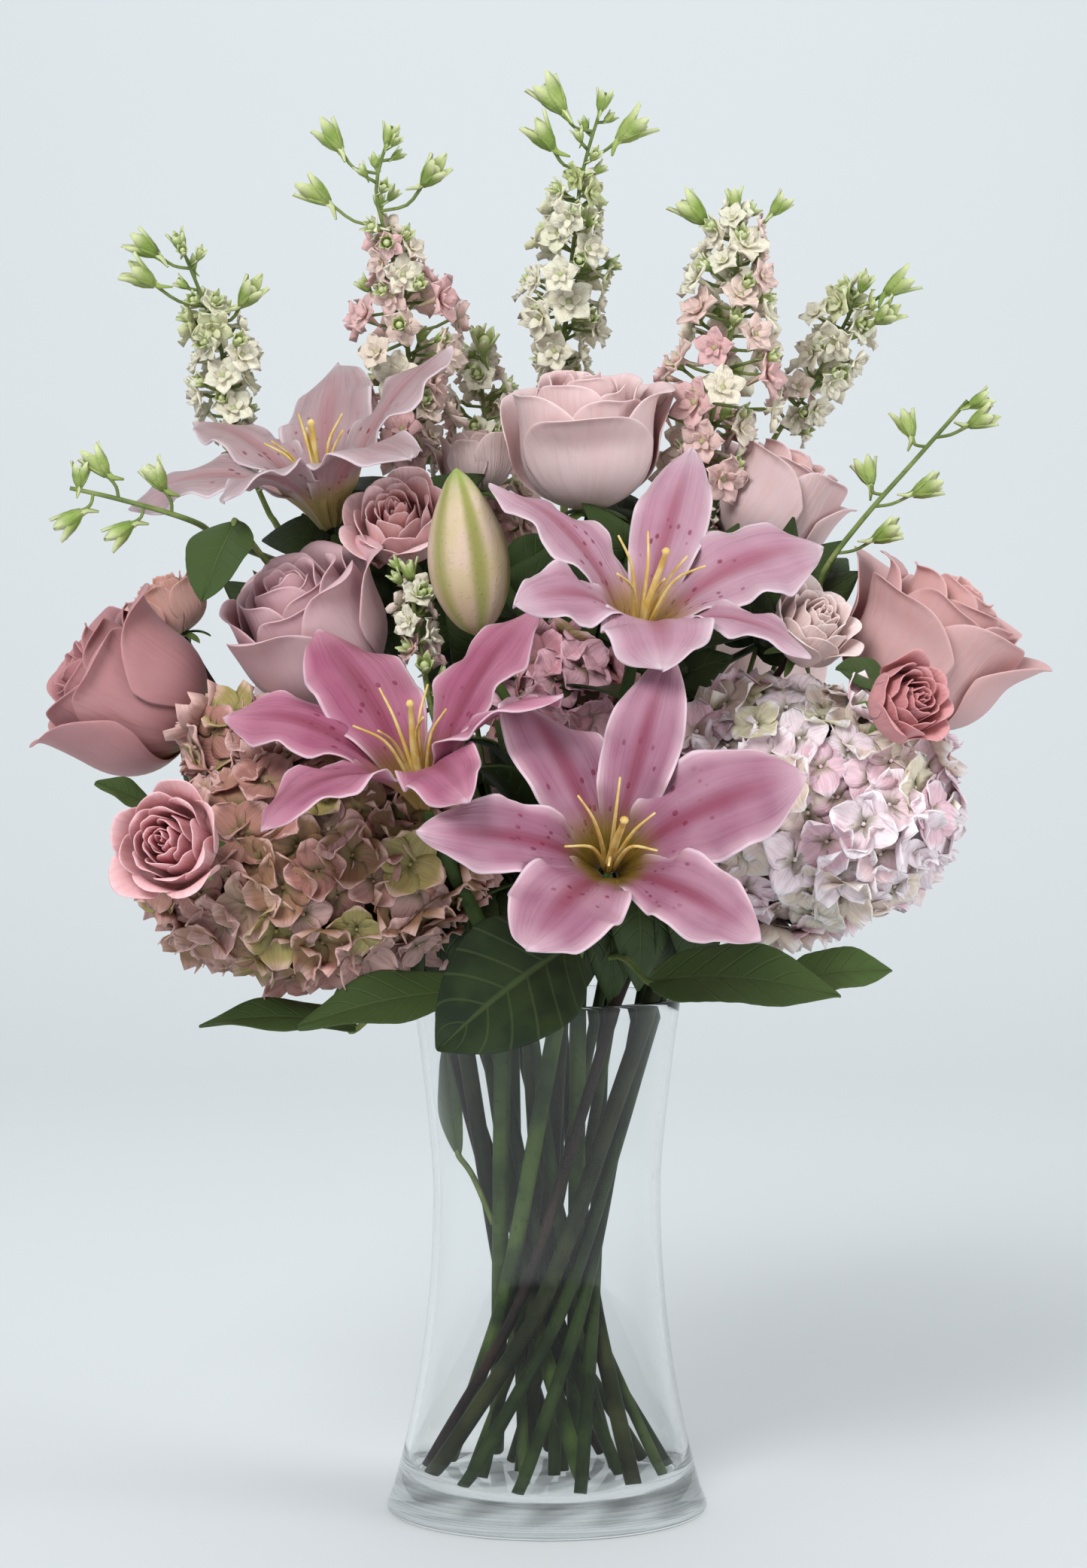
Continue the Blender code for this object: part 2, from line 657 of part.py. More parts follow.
def build_hydrangea(name, spec):
    """A full round head with a lumpy surface, flatter below where its stem comes in."""
    half = Vector(spec["half"]) * BOUQUET_SCALE
    bm = bmesh.new()
    bmesh.ops.create_icosphere(bm, subdivisions=3, radius=1.0)
    for vert in bm.verts:
        x, y, z = vert.co
        lump = 1 + (HEAD_LUMP - 1) * math.sin(9 * x + 2) * math.cos(8 * y + 1) * math.cos(7 * z)
        sag = 0.86 if z < -0.35 else 1.0
        vert.co = Vector((x * half.x, y * half.y, z * half.z * sag)) * lump
    mesh = mesh_of(bm, name)
    mesh.transform(Matrix.Translation(from_rim(spec["middle"])))
    head = add_object(name, mesh, "hydrangea")
    for stem, (line, radii) in stem_paths.items():
        if stem != name and passes_through(line, max(radii), from_rim(spec["middle"]), half):
            clear_way(head, stem, line, radii)
    return head


def passes_through(line, radius, middle, half):
    """Whether a stem comes inside the head or nearer than its own thickness to it."""
    grown = half * HEAD_LUMP + Vector((1, 1, 1)) * 2 * radius
    for a, b in zip(line, line[1:]):
        for k in range(5):
            away = a.lerp(b, k / 4) - middle
            if sum((w / g) ** 2 for w, g in zip(away, grown)) < 1:
                return True
    return False


def clear_way(head, stem, line, radii):
    """Opens the way between a head's florets that another stem runs through."""
    wide = [radius + STEM_WAY for radius in radii]
    cutter = add_object(f"{head.name}_way_{stem}", tube_mesh(stem, line, wide), "stem")
    cutter.hide_render = True
    cutter.display_type = "WIRE"
    cut = head.modifiers.new("way for " + stem, "BOOLEAN")
    cut.operation = "DIFFERENCE"
    cut.solver = "EXACT"
    cut.object = cutter


def hydrangea_foot(spec):
    """Where the stem meets the head: on the head's surface, along the way it comes from."""
    half, way = Vector(spec["half"]) * BOUQUET_SCALE, Vector(spec["from"]).normalized()
    reach = 1 / math.sqrt(sum((w / h) ** 2 for w, h in zip(way, half)))
    return from_rim(spec["middle"]) + way * (reach * 1.08 + GAP), -way


def bud_branch(name, line, share, turn, reach, size):
    """A bud on its pedicel, growing up and out of the spike at a share of its length."""
    at = share * (len(line) - 1)
    i = min(int(at), len(line) - 2)
    start = line[i].lerp(line[i + 1], at - i)
    along = (line[i + 1] - line[i]).normalized()
    angle = math.radians(turn)
    out = Vector((math.cos(angle), 0.0, math.sin(angle)))
    if abs(along.z) > 0.6:
        out = Vector((math.cos(angle), math.sin(angle), 0.0))
    rise = along * 0.55
    reach, size = reach * BOUQUET_SCALE, size * BOUQUET_SCALE
    ends = [start, start + (out + rise * 0.4) * reach * 0.5, start + (out + rise) * reach * 0.85]
    aim = (out * 0.7 + along * 0.7).normalized()
    ends += [ends[-1] + aim * size, ends[-1] + aim * size * 2.6]
    radii = [PEDICEL_RADIUS, PEDICEL_RADIUS, size * 0.45, size, size * 0.2]
    return tube_mesh(name, ends, radii, 0)


def build_larkspur(name, spec):
    points = [from_rim(p) for p in spec["line"]]
    spike = smooth_line(points, 2)
    widths = []
    for i in range(len(spike)):
        at = i / 2
        low = min(int(at), len(points) - 2)
        here, above = spec["column"][low], spec["column"][low + 1]
        widths.append(BOUQUET_SCALE * (here + (above - here) * (at - low)))
    low = in_vase(name)
    line = low + above_rim(low[-1], low[-2], spike[0], spike[1] - spike[0], 4)
    radius = stem_thickness(name) / 2
    radii = [radius] * len(low) + [radius * 0.9] * (len(line) - len(low))
    trunk = tube_mesh(name, line + spike[1:], radii + widths[1:])
    remember_stem(name, line, radii)
    branches = [bud_branch(name, spike, *bud) for bud in spec["buds"]]
    if "shoot" in spec:
        branches += build_shoot(name, line[-3], spec["shoot"])
    return grown_from(name, trunk, branches, "larkspur")


def build_shoot(name, start, spec):
    """A thin green side shoot with buds only, leaving the stem at start."""
    shoot = smooth_line([start] + [from_rim(p) for p in spec["line"]], 2)
    last = len(shoot) - 1
    widths = [SHOOT_RADIUS * (1 - 0.45 * i / last) for i in range(last)] + [0.0036]
    return [tube_mesh(name, shoot, widths)] + [bud_branch(name, shoot, *bud) for bud in spec["buds"]]


SPRAY_STEMS = {
    "spray_left": ("spray_rose_lower_left", "spray_rose_upper_left"),
    "spray_right": (
        "spray_rose_outer_right", "spray_rose_inner_right", "spray_rose_top_back", "spray_rose_top_left",
    ),
}


def build_spray_stem(name, heads):
    """A stem that forks above the rim, one fork to each head."""
    low = in_vase(name)
    radius = stem_thickness(name) / 2
    lines = []
    for head in heads:
        spec = SPRAY_ROSES[head]
        facing = Vector(spec["facing"]).normalized()
        end = from_rim(spec["foot"]) - facing * GAP
        lines.append(above_rim(low[-1], low[-2], end, facing, 6))
    trunk_radii = [radius] * len(low) + [radius * 0.7] * len(lines[0])
    trunk = tube_mesh(name, low + lines[0], trunk_radii)
    remember_stem(name, low + lines[0], trunk_radii)
    forks = []
    for line, head in zip(lines[1:], heads[1:]):
        fork = [low[-1] + (low[-1] - low[-2]) * 0.02] + line
        radii = [radius * 0.62] * len(fork)
        forks.append(tube_mesh(f"{name}_{head}", fork, radii))
        stem_paths[f"{name}_{head}"] = (fork, radii)
    return grown_from("stem_" + name, trunk, forks, "stem")


def build_leaf(name, spec):
    foot, tip = from_rim(spec["foot"]), from_rim(spec["tip"])
    along = tip - foot
    face = Vector(spec["face"])
    side = along.cross(face).normalized()
    up = side.cross(along).normalized()
    bm = bmesh.new()
    row = None
    shares = (0.0, 0.12, 0.32, 0.55, 0.78, 0.93)
    for share in shares:
        half = BOUQUET_SCALE * spec["width"] / 2 * max(0.06, math.sin(math.pi * share**0.8) ** 0.75)
        middle = foot + along * share + up * (4 * BOUQUET_SCALE * spec["bow"] * share * (1 - share))
        fold = up * half * 0.16
        made = [bm.verts.new(middle + side * half * t + fold * abs(t)) for t in (-1, 0, 1)]
        if row:
            for k in (0, 1):
                bm.faces.new((row[k], row[k + 1], made[k + 1], made[k]))
        row = made
    end = bm.verts.new(tip)
    bm.faces.new((row[0], row[1], end))
    bm.faces.new((row[1], row[2], end))
    leaf = add_object(name, mesh_of(bm, name), "leaf")
    sheet = leaf.modifiers.new("thickness", "SOLIDIFY")
    sheet.thickness = LEAF_THICKNESS
    sheet.offset = 0.0
    return leaf


def build_bouquet():
    for name, spec in LILIES.items():
        build_lily(name, spec)
        facing = Vector(spec["facing"]).normalized()
        build_stem(name, from_rim(spec["foot"]) - facing * TEPAL_THICKNESS, facing)
    build_bud()
    for name, spec in ROSES.items():
        build_rose(name, spec, ROSE_RADIUS * spec["size"], ROSE_HEIGHT * spec["size"], 10, "rose")
        build_stem(name, from_rim(spec["foot"]), spec["facing"])
    for name, spec in SPRAY_ROSES.items():
        build_rose(name, spec, SPRAY_RADIUS * spec["size"], SPRAY_HEIGHT * spec["size"], 8, "spray")
    for name, heads in SPRAY_STEMS.items():
        build_spray_stem(name, heads)
    for name, spec in LARKSPURS.items():
        build_larkspur(name, spec)
    for name, spec in HYDRANGEAS.items():
        foot, arrival = hydrangea_foot(spec)
        build_stem(name, foot, arrival, 0.9)
    for name, spec in HYDRANGEAS.items():
        build_hydrangea(name, spec)
    for name, spec in LEAVES.items():
        build_leaf(name, spec)


clear_scene()
build_vase()
build_bouquet()
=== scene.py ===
# Lilies in a vase: the petals, leaves, stems and glass that stand for the CAD solids.
# Metres, +Z up. The bouquet faces -Y, and every flower stands where its own CAD solid does.
import json
import math
import random

import bmesh
import bpy
from mathutils import Matrix, Vector, noise

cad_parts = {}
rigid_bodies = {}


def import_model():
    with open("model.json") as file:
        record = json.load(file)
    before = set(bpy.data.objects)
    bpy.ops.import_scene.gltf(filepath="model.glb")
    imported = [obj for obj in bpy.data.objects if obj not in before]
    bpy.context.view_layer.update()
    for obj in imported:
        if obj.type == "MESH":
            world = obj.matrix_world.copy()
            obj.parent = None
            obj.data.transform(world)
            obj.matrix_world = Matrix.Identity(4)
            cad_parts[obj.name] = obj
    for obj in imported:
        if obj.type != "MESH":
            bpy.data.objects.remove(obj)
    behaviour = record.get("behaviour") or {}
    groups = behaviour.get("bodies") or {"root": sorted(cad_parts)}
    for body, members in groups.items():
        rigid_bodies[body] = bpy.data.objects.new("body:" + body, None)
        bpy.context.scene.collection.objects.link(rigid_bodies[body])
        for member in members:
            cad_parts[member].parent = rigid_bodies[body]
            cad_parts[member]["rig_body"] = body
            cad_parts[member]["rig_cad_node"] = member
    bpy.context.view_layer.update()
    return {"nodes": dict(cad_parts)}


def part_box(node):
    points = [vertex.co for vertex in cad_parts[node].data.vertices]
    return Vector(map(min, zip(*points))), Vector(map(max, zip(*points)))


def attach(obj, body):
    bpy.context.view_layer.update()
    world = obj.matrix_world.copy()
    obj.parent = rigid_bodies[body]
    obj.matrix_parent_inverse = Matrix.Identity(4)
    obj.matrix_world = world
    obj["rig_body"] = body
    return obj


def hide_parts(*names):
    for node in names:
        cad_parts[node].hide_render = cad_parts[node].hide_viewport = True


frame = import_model()
cadNodes = frame["nodes"]
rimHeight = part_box("vase")[1].z
up = Vector((0, 0, 1))

# the studio: a pale paper sweep, soft light and a level camera
stage = {
    "floorColour": (0.70, 0.735, 0.752),
    "floorRoughness": 0.85,
    "floorWidth": 16,
    "floorFront": -4.0,
    "floorRun": 12.0,
    "wallDistance": 3.0,
    "sweepRadius": 1.2,
    "skyColour": (0.93, 0.96, 1.0),
    "skyStrength": 0.42,
}
lights = {
    "keyLight": {"place": (-0.95, -2.3, 1.9), "aim": (0, 0, 0.3), "size": 1.2, "power": 76},
    "fillLight": {"place": (2.2, -1.0, 1.0), "aim": (0, 0, 0.3), "size": 1.6, "power": 30},
    "wallLight": {"place": (0.0, 0.9, 2.3), "aim": (0.0, 3.0, 0.9), "size": 2.4, "power": 24},
}
view = {"place": (-0.0015, -1.74, 0.376), "aim": (-0.0015, 0.0, 0.316), "lens": 92.1, "sensor": 36}


def aimed(look):
    return (Vector(look["aim"]) - Vector(look["place"])).to_track_quat("-Z", "Y").to_euler()


def addCamera():
    bpy.ops.object.camera_add(location=view["place"], rotation=aimed(view))
    camera = bpy.context.object
    camera.name = "camera"
    camera.data.lens = view["lens"]
    camera.data.sensor_width = view["sensor"]
    bpy.context.scene.camera = camera


def addStage():
    # the floor sweeps up into the wall behind in one curve
    bpy.ops.mesh.primitive_grid_add(x_subdivisions=2, y_subdivisions=48, size=1)
    sweep = bpy.context.object
    sweep.name = "floor"
    bend = stage["sweepRadius"]
    foot = stage["wallDistance"] - bend
    for vertex in sweep.data.vertices:
        run = stage["floorFront"] + (vertex.co.y + 0.5) * stage["floorRun"]
        turn = min(max((run - foot) / bend, 0), math.pi / 2)
        y = min(run, foot) + bend * math.sin(turn)
        z = bend * (1 - math.cos(turn)) + max(0, run - foot - bend * math.pi / 2)
        vertex.co = Vector((vertex.co.x * stage["floorWidth"], y, z))
    bpy.ops.object.shade_smooth()
    paint = bpy.data.materials.new("paperSweep")
    paint.use_nodes = True
    shader = paint.node_tree.nodes["Principled BSDF"]
    shader.inputs["Base Color"].default_value = (*stage["floorColour"], 1)
    shader.inputs["Roughness"].default_value = stage["floorRoughness"]
    sweep.data.materials.append(paint)


def addLights():
    world = bpy.data.worlds.new("studio")
    bpy.context.scene.world = world
    world.use_nodes = True
    sky = world.node_tree.nodes["Background"]
    sky.inputs["Color"].default_value = (*stage["skyColour"], 1)
    sky.inputs["Strength"].default_value = stage["skyStrength"]
    for name, look in lights.items():
        bpy.ops.object.light_add(type="AREA", location=look["place"], rotation=aimed(look))
        light = bpy.context.object
        light.name = name
        light.data.size = look["size"]
        light.data.energy = look["power"]
        if name != "wallLight":  # the other two would leave a bright patch on the glass
            light.visible_glossy = light.visible_transmission = False
    bpy.context.scene.view_settings.view_transform = "Standard"


addCamera()
addStage()
addLights()
print("camera, lights and stage are in place")


def feed(tree, socket, value):
    if isinstance(value, bpy.types.NodeSocket):
        tree.links.new(value, socket)
    else:
        socket.default_value = (*value, 1) if isinstance(value, tuple) and len(value) == 3 else value


def feedAll(tree, sockets, *values):
    for socket, value in zip(sockets, values):
        feed(tree, socket, value)


def calculate(tree, operation, *values):
    node = tree.nodes.new("ShaderNodeMath")
    node.operation = operation
    feedAll(tree, node.inputs, *values)
    return node.outputs[0]


def times(tree, value, factor):
    return calculate(tree, "MULTIPLY", value, factor)


def ease(tree, value, low, high, start=0.0, end=1.0):
    # a smooth step from start to end as the value goes from low to high
    node = tree.nodes.new("ShaderNodeMapRange")
    node.interpolation_type = "SMOOTHSTEP"
    feedAll(tree, node.inputs, value, low, high, start, end)
    return node.outputs[0]


def layered(tree, colour, *layers):
    # each layer is a share and a colour, laid over the ones before it
    for share, over in layers:
        node = tree.nodes.new("ShaderNodeMix")
        node.data_type = "RGBA"
        feed(tree, node.inputs["Factor"], share)
        feedAll(tree, node.inputs[6:8], colour, over)
        colour = node.outputs[2]
    return colour


def toned(colour, factor, lift=0.0):
    return tuple(min(1.0, part * factor + lift) for part in colour)


def joinXYZ(tree, *values):
    node = tree.nodes.new("ShaderNodeCombineXYZ")
    feedAll(tree, node.inputs, *values)
    return node.outputs[0]


def noiseAt(tree, vector, scale, seed=None):
    node = tree.nodes.new("ShaderNodeTexNoise")
    feed(tree, node.inputs["Vector"], vector)
    feed(tree, node.inputs["Scale"], scale)
    if seed is not None:
        node.noise_dimensions = "4D"
        feed(tree, node.inputs["W"], seed)
    return node.outputs["Fac"]


def newGroup(name, inputs, outputs):
    group = bpy.data.node_groups.new(name, "ShaderNodeTree")
    for label, value in inputs.items():
        socket = group.interface.new_socket(label, in_out="INPUT", socket_type="NodeSocketFloat")
        socket.default_value = value
    for label in outputs:
        group.interface.new_socket(label, in_out="OUTPUT", socket_type="NodeSocketFloat")
    return group, group.nodes.new("NodeGroupInput").outputs, group.nodes.new("NodeGroupOutput").inputs


def makeVeinGroup():
    # fine streaks that run along a petal or leaf and fan out a little towards its tip
    inputs = {"Across": 0.0, "Along": 0.0, "Streaks": 26.0, "Seed": 0.0}
    group, given, wanted = newGroup("petalVeins", inputs, ("Veins", "Cells"))
    fan = calculate(group, "MULTIPLY_ADD", given["Along"], -0.25, 1.0)
    across = times(group, times(group, given["Across"], fan), given["Streaks"])
    along = times(group, given["Along"], 2.2)
    streak = noiseAt(group, joinXYZ(group, across, along, given["Seed"]), 1.0)
    feed(group, wanted["Veins"], ease(group, streak, 0.42, 0.66))
    fine = joinXYZ(group, times(group, across, 3.0), times(group, along, 9.0), 0.3)
    feed(group, wanted["Cells"], noiseAt(group, fine, 1.0))
    return group


def makeMottleGroup():
    # soft blotches and specks through the plant's own body
    group, given, wanted = newGroup("plantMottle", {"Size": 60.0, "Seed": 0.0}, ("Blotches", "Specks"))
    place = group.nodes.new("ShaderNodeTexCoord").outputs["Object"]
    soft = noiseAt(group, place, times(group, given["Size"], 1.0), given["Seed"])
    fine = noiseAt(group, place, times(group, given["Size"], 9.0))
    feed(group, wanted["Blotches"], ease(group, soft, 0.35, 0.65))
    feed(group, wanted["Specks"], ease(group, fine, 0.58, 0.72))
    return group


veinGroup = makeVeinGroup()
mottleGroup = makeMottleGroup()


def useGroup(tree, group, **values):
    node = tree.nodes.new("ShaderNodeGroup")
    node.node_tree = group
    for label, value in values.items():
        feed(tree, node.inputs[label], value)
    return node.outputs


plantBody = {"coatRoughness": 0.35, "glowDepth": 0.004, "glowSpread": (1.0, 0.5, 0.4)}


def newMaterial(name, roughness, coat=0.0, glow=0.0, shine=0.5):
    material = bpy.data.materials.new(name)
    material.use_nodes = True
    sockets = material.node_tree.nodes["Principled BSDF"].inputs
    sockets["Roughness"].default_value = roughness
    sockets["Specular IOR Level"].default_value = shine
    sockets["Coat Weight"].default_value = coat
    sockets["Coat Roughness"].default_value = plantBody["coatRoughness"]
    sockets["Subsurface Weight"].default_value = glow
    sockets["Subsurface Scale"].default_value = plantBody["glowDepth"]
    sockets["Subsurface Radius"].default_value = plantBody["glowSpread"]
    return material, material.node_tree, sockets


def sheetCoordinates(tree):
    # across runs 0 at the middle to 1 at the edge, side is -1 to 1, along is 0 at the foot to 1 at the tip
    uv = tree.nodes.new("ShaderNodeSeparateXYZ")
    feed(tree, uv.inputs[0], tree.nodes.new("ShaderNodeTexCoord").outputs["UV"])
    side = calculate(tree, "MULTIPLY_ADD", uv.outputs["X"], 2.0, -1.0)
    return calculate(tree, "ABSOLUTE", side), side, uv.outputs["Y"]


def markOf(tree, label):
    node = tree.nodes.new("ShaderNodeAttribute")
    node.attribute_name = label
    return node.outputs["Fac"]


def bumpFrom(tree, sockets, height, distance, strength=0.6):
    bump = tree.nodes.new("ShaderNodeBump")
    feed(tree, bump.inputs["Height"], height)
    bump.inputs["Distance"].default_value = distance
    bump.inputs["Strength"].default_value = strength
    feed(tree, sockets["Normal"], bump.outputs["Normal"])


def makePlainMaterial(name, look):
    # one plant colour with soft blotches, and specks where the look asks for them
    material, tree, sockets = newMaterial(name, look["roughness"], glow=look["glow"], shine=look["shine"])
    mottle = useGroup(tree, mottleGroup, Size=look["grain"])
    colour = layered(tree, look["dark"], (mottle["Blotches"], look["light"]))
    if look["specks"]:
        specks = times(tree, mottle["Specks"], look["specks"])
        colour = layered(tree, colour, (specks, toned(look["dark"], 0.5)))
    feed(tree, sockets["Base Color"], colour)
    bumpFrom(tree, sockets, mottle["Specks"], look["depth"])
    return material


def deselectAll():
    bpy.ops.object.select_all(action="DESELECT")


def makeActive(piece):
    deselectAll()
    piece.select_set(True)
    bpy.context.view_layer.objects.active = piece


def around(angle):
    # the way out at an angle, and the way across it
    return Vector((math.cos(angle), math.sin(angle), 0)), Vector((-math.sin(angle), math.cos(angle), 0))


def placed(spot, aim, size=1.0, spin=0.0):
    # where a copy goes: its foot, the way that it faces, its size and its own turn
    turned = aim.to_track_quat("Z", "Y").to_matrix().to_4x4() @ Matrix.Rotation(spin, 4, "Z")
    return Matrix.Translation(spot) @ turned @ Matrix.Scale(size, 4)


def markPiece(piece, **marks):
    for label, value in marks.items():
        mark = piece.data.attributes.get(label) or piece.data.attributes.new(label, "FLOAT", "POINT")
        mark.data.foreach_set("value", [value] * len(mark.data))


def makeSheet(name, across, along, surface, **marks):
    # a grid moved to surface(u, v): u goes from -1 to 1 across and v from 0 to 1 along
    deselectAll()
    bpy.ops.mesh.primitive_grid_add(x_subdivisions=across, y_subdivisions=along, size=1)
    sheet = bpy.context.object
    sheet.name = name
    for vertex in sheet.data.vertices:
        vertex.co = surface(2 * vertex.co.x, vertex.co.y + 0.5)
    markPiece(sheet, **marks)
    return sheet


def joinPieces(pieces, name):
    deselectAll()
    for piece in pieces:
        piece.select_set(True)
    bpy.context.view_layer.objects.active = pieces[0]
    if len(pieces) > 1:
        bpy.ops.object.join()
    pieces[0].name = name
    pieces[0].data.name = name
    return pieces[0]


def smoothAndApply(piece, smoothing):
    if smoothing:
        smooth = piece.modifiers.new("smooth", "SUBSURF")
        smooth.levels = smooth.render_levels = smoothing
    makeActive(piece)
    for modifier in list(piece.modifiers):
        bpy.ops.object.modifier_apply(modifier=modifier.name)
    bpy.ops.object.shade_smooth()
    return piece


def thicken(pieces, name, thickness, smoothing=1):
    # sheets joined into one piece and given a wall
    piece = joinPieces(pieces, name)
    solid = piece.modifiers.new("thickness", "SOLIDIFY")
    solid.thickness = thickness
    solid.offset = 0
    return smoothAndApply(piece, smoothing)


def addCopy(piece, matrix=Matrix(), **marks):
    twin = piece.copy()
    twin.data = piece.data.copy()
    twin.data.transform(matrix)
    markPiece(twin, **marks)
    bpy.context.scene.collection.objects.link(twin)
    return twin


def copyOfCad(node, name):
    # a CAD solid's own mesh, to work on
    piece = addCopy(cadNodes[node])
    piece.parent = None
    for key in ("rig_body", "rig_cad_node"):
        del piece[key]
    piece.hide_render = piece.hide_viewport = False
    piece.name = name
    return piece


def discard(piece):
    bpy.data.objects.remove(piece, do_unlink=True)


def mergeMesh(piece, distance=0.00001):
    makeActive(piece)
    bpy.ops.object.mode_set(mode="EDIT")
    bpy.ops.mesh.select_all(action="SELECT")
    bpy.ops.mesh.remove_doubles(threshold=distance)
    bpy.ops.mesh.normals_make_consistent(inside=False)
    bpy.ops.object.mode_set(mode="OBJECT")


def smoothLine(points, steps):
    # points read from a Catmull-Rom curve through the given points
    padded = [points[0] * 2 - points[1], *points, points[-1] * 2 - points[-2]]
    line = []
    for i in range(1, len(padded) - 2):
        a, b, c, d = padded[i - 1 : i + 3]
        for k in range(steps):
            t = k / steps
            bend = (c - a) * t + (2 * a - 5 * b + 4 * c - d) * t**2 + (3 * b - a - 3 * c + d) * t**3
            line.append(b + bend / 2)
    line.append(points[-1].copy())
    return line


def tapered(line, first, last):
    # a tube along a line: its radius goes evenly from first to last
    count = len(line) - 1
    return line, [first + (last - first) * i / count for i in range(count + 1)]


def addTubes(name, tubes, roundness=2):
    # one closed tube for each line and its radii, all in one mesh
    curve = bpy.data.curves.new(name, "CURVE")
    curve.dimensions = "3D"
    curve.bevel_depth = 1.0
    curve.bevel_resolution = roundness
    curve.use_fill_caps = True
    for points, radii in tubes:
        spline = curve.splines.new("POLY")
        spline.points.add(len(points) - 1)
        for spot, place, radius in zip(spline.points, points, radii):
            spot.co = (*place, 1.0)
            spot.radius = radius
    piece = bpy.data.objects.new(name, curve)
    bpy.context.scene.collection.objects.link(piece)
    makeActive(piece)
    bpy.ops.object.convert(target="MESH")
    piece = bpy.context.object
    mergeMesh(piece)
    bpy.ops.object.shade_smooth()
    return piece


def finishPiece(piece, material, slotName, *nodes):
    # the piece gets its finish and joins the root body, and the CAD nodes that it stands for are hidden
    piece.data.materials.clear()
    piece.data.materials.append(material)
    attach(piece, "root")
    if nodes:
        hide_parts(*nodes)


def fromRim(place):
    return Vector(place) + up * rimHeight


def cadPoints(node):
    return [vertex.co.copy() for vertex in cadNodes[node].data.vertices]


def footOf(node, facing):
    # the middle of a CAD flower's foot: the end of the solid away from where it faces
    axis = Vector(facing).normalized()
    points = cadPoints(node)
    lowest = min(point.dot(axis) for point in points)
    foot = [point for point in points if point.dot(axis) < lowest + 0.0015]
    return sum(foot, Vector()) / len(foot)


def reachOf(node, facing):
    # how tall a CAD flower is along its facing, and how wide around it
    axis = Vector(facing).normalized()
    foot = footOf(node, facing)
    offsets = [point - foot for point in cadPoints(node)]
    tall = max(offset.dot(axis) for offset in offsets)
    wide = max((offset - axis * offset.dot(axis)).length for offset in offsets)
    return tall, wide


def standOn(node, facing):
    return placed(footOf(node, facing), Vector(facing))


# finishes with no pattern along the piece: the petals and leaves have their own, further down
plain = {"roughness": 0.55, "shine": 0.25, "glow": 0.0, "depth": 0.0003, "specks": 0.4, "grain": 45.0}
finishes = {
    "goldenFilament": {
        "dark": (0.62, 0.42, 0.10), "light": (0.74, 0.58, 0.24),
        "roughness": 0.45, "shine": 0.5, "glow": 0.1, "depth": 0.0002, "specks": 0, "grain": 180.0,
    },
    "sepalGreen": {
        "dark": (0.07, 0.12, 0.03), "light": (0.15, 0.21, 0.06),
        "roughness": 0.5, "shine": 0.5, "specks": 0, "grain": 120.0,
    },
    "heartShade": {
        "dark": (0.035, 0.035, 0.014), "light": (0.09, 0.06, 0.035),
        "roughness": 0.8, "shine": 0.5, "depth": 0.001, "specks": 0, "grain": 90.0,
    },
    "stalkGreen": {"dark": (0.12, 0.17, 0.05), "light": (0.22, 0.27, 0.09), "grain": 70.0},
    "lilyStem": {"dark": (0.022, 0.043, 0.0087), "light": (0.068, 0.11, 0.025)},
    "roseStem": {"dark": (0.0074, 0.015, 0.0037), "light": (0.025, 0.043, 0.011)},
    "hydrangeaStem": {"dark": (0.0099, 0.014, 0.0043), "light": (0.031, 0.038, 0.012)},
    "sprayStem": {"dark": (0.011, 0.0062, 0.005), "light": (0.031, 0.017, 0.012)},
    "larkspurStem": {"dark": (0.019, 0.034, 0.0087), "light": (0.053, 0.081, 0.022)},
}
plainMaterials = {name: makePlainMaterial(name, {**plain, **look}) for name, look in finishes.items()}
print("plain finishes are mixed")

# how a tepal is cut and curled, and the finish that the four lilies share
lilyShape = {
    "length": 0.096,
    "innerWidth": 0.046,
    "outerWidth": 0.033,
    "thickness": 0.0010,
    "tubeRadius": 0.0042,
    "tubeLean": 24,
    "curlGrowth": 1.1,
    "cup": 0.34,
    "rollBack": 0.46,
    "groove": 0.0013,
    "ruffle": 0.0038,
    "ruffles": 3.4,
    "wander": 0.0022,
    "across": 12,
    "along": 24,
    "filaments": 6,
    "filamentLength": 0.044,
    "filamentRadius": 0.0009,
    "styleRadius": 0.0022,
    "rimColour": (0.82, 0.68, 0.75),
    "spotColour": (0.20, 0.02, 0.05),
}

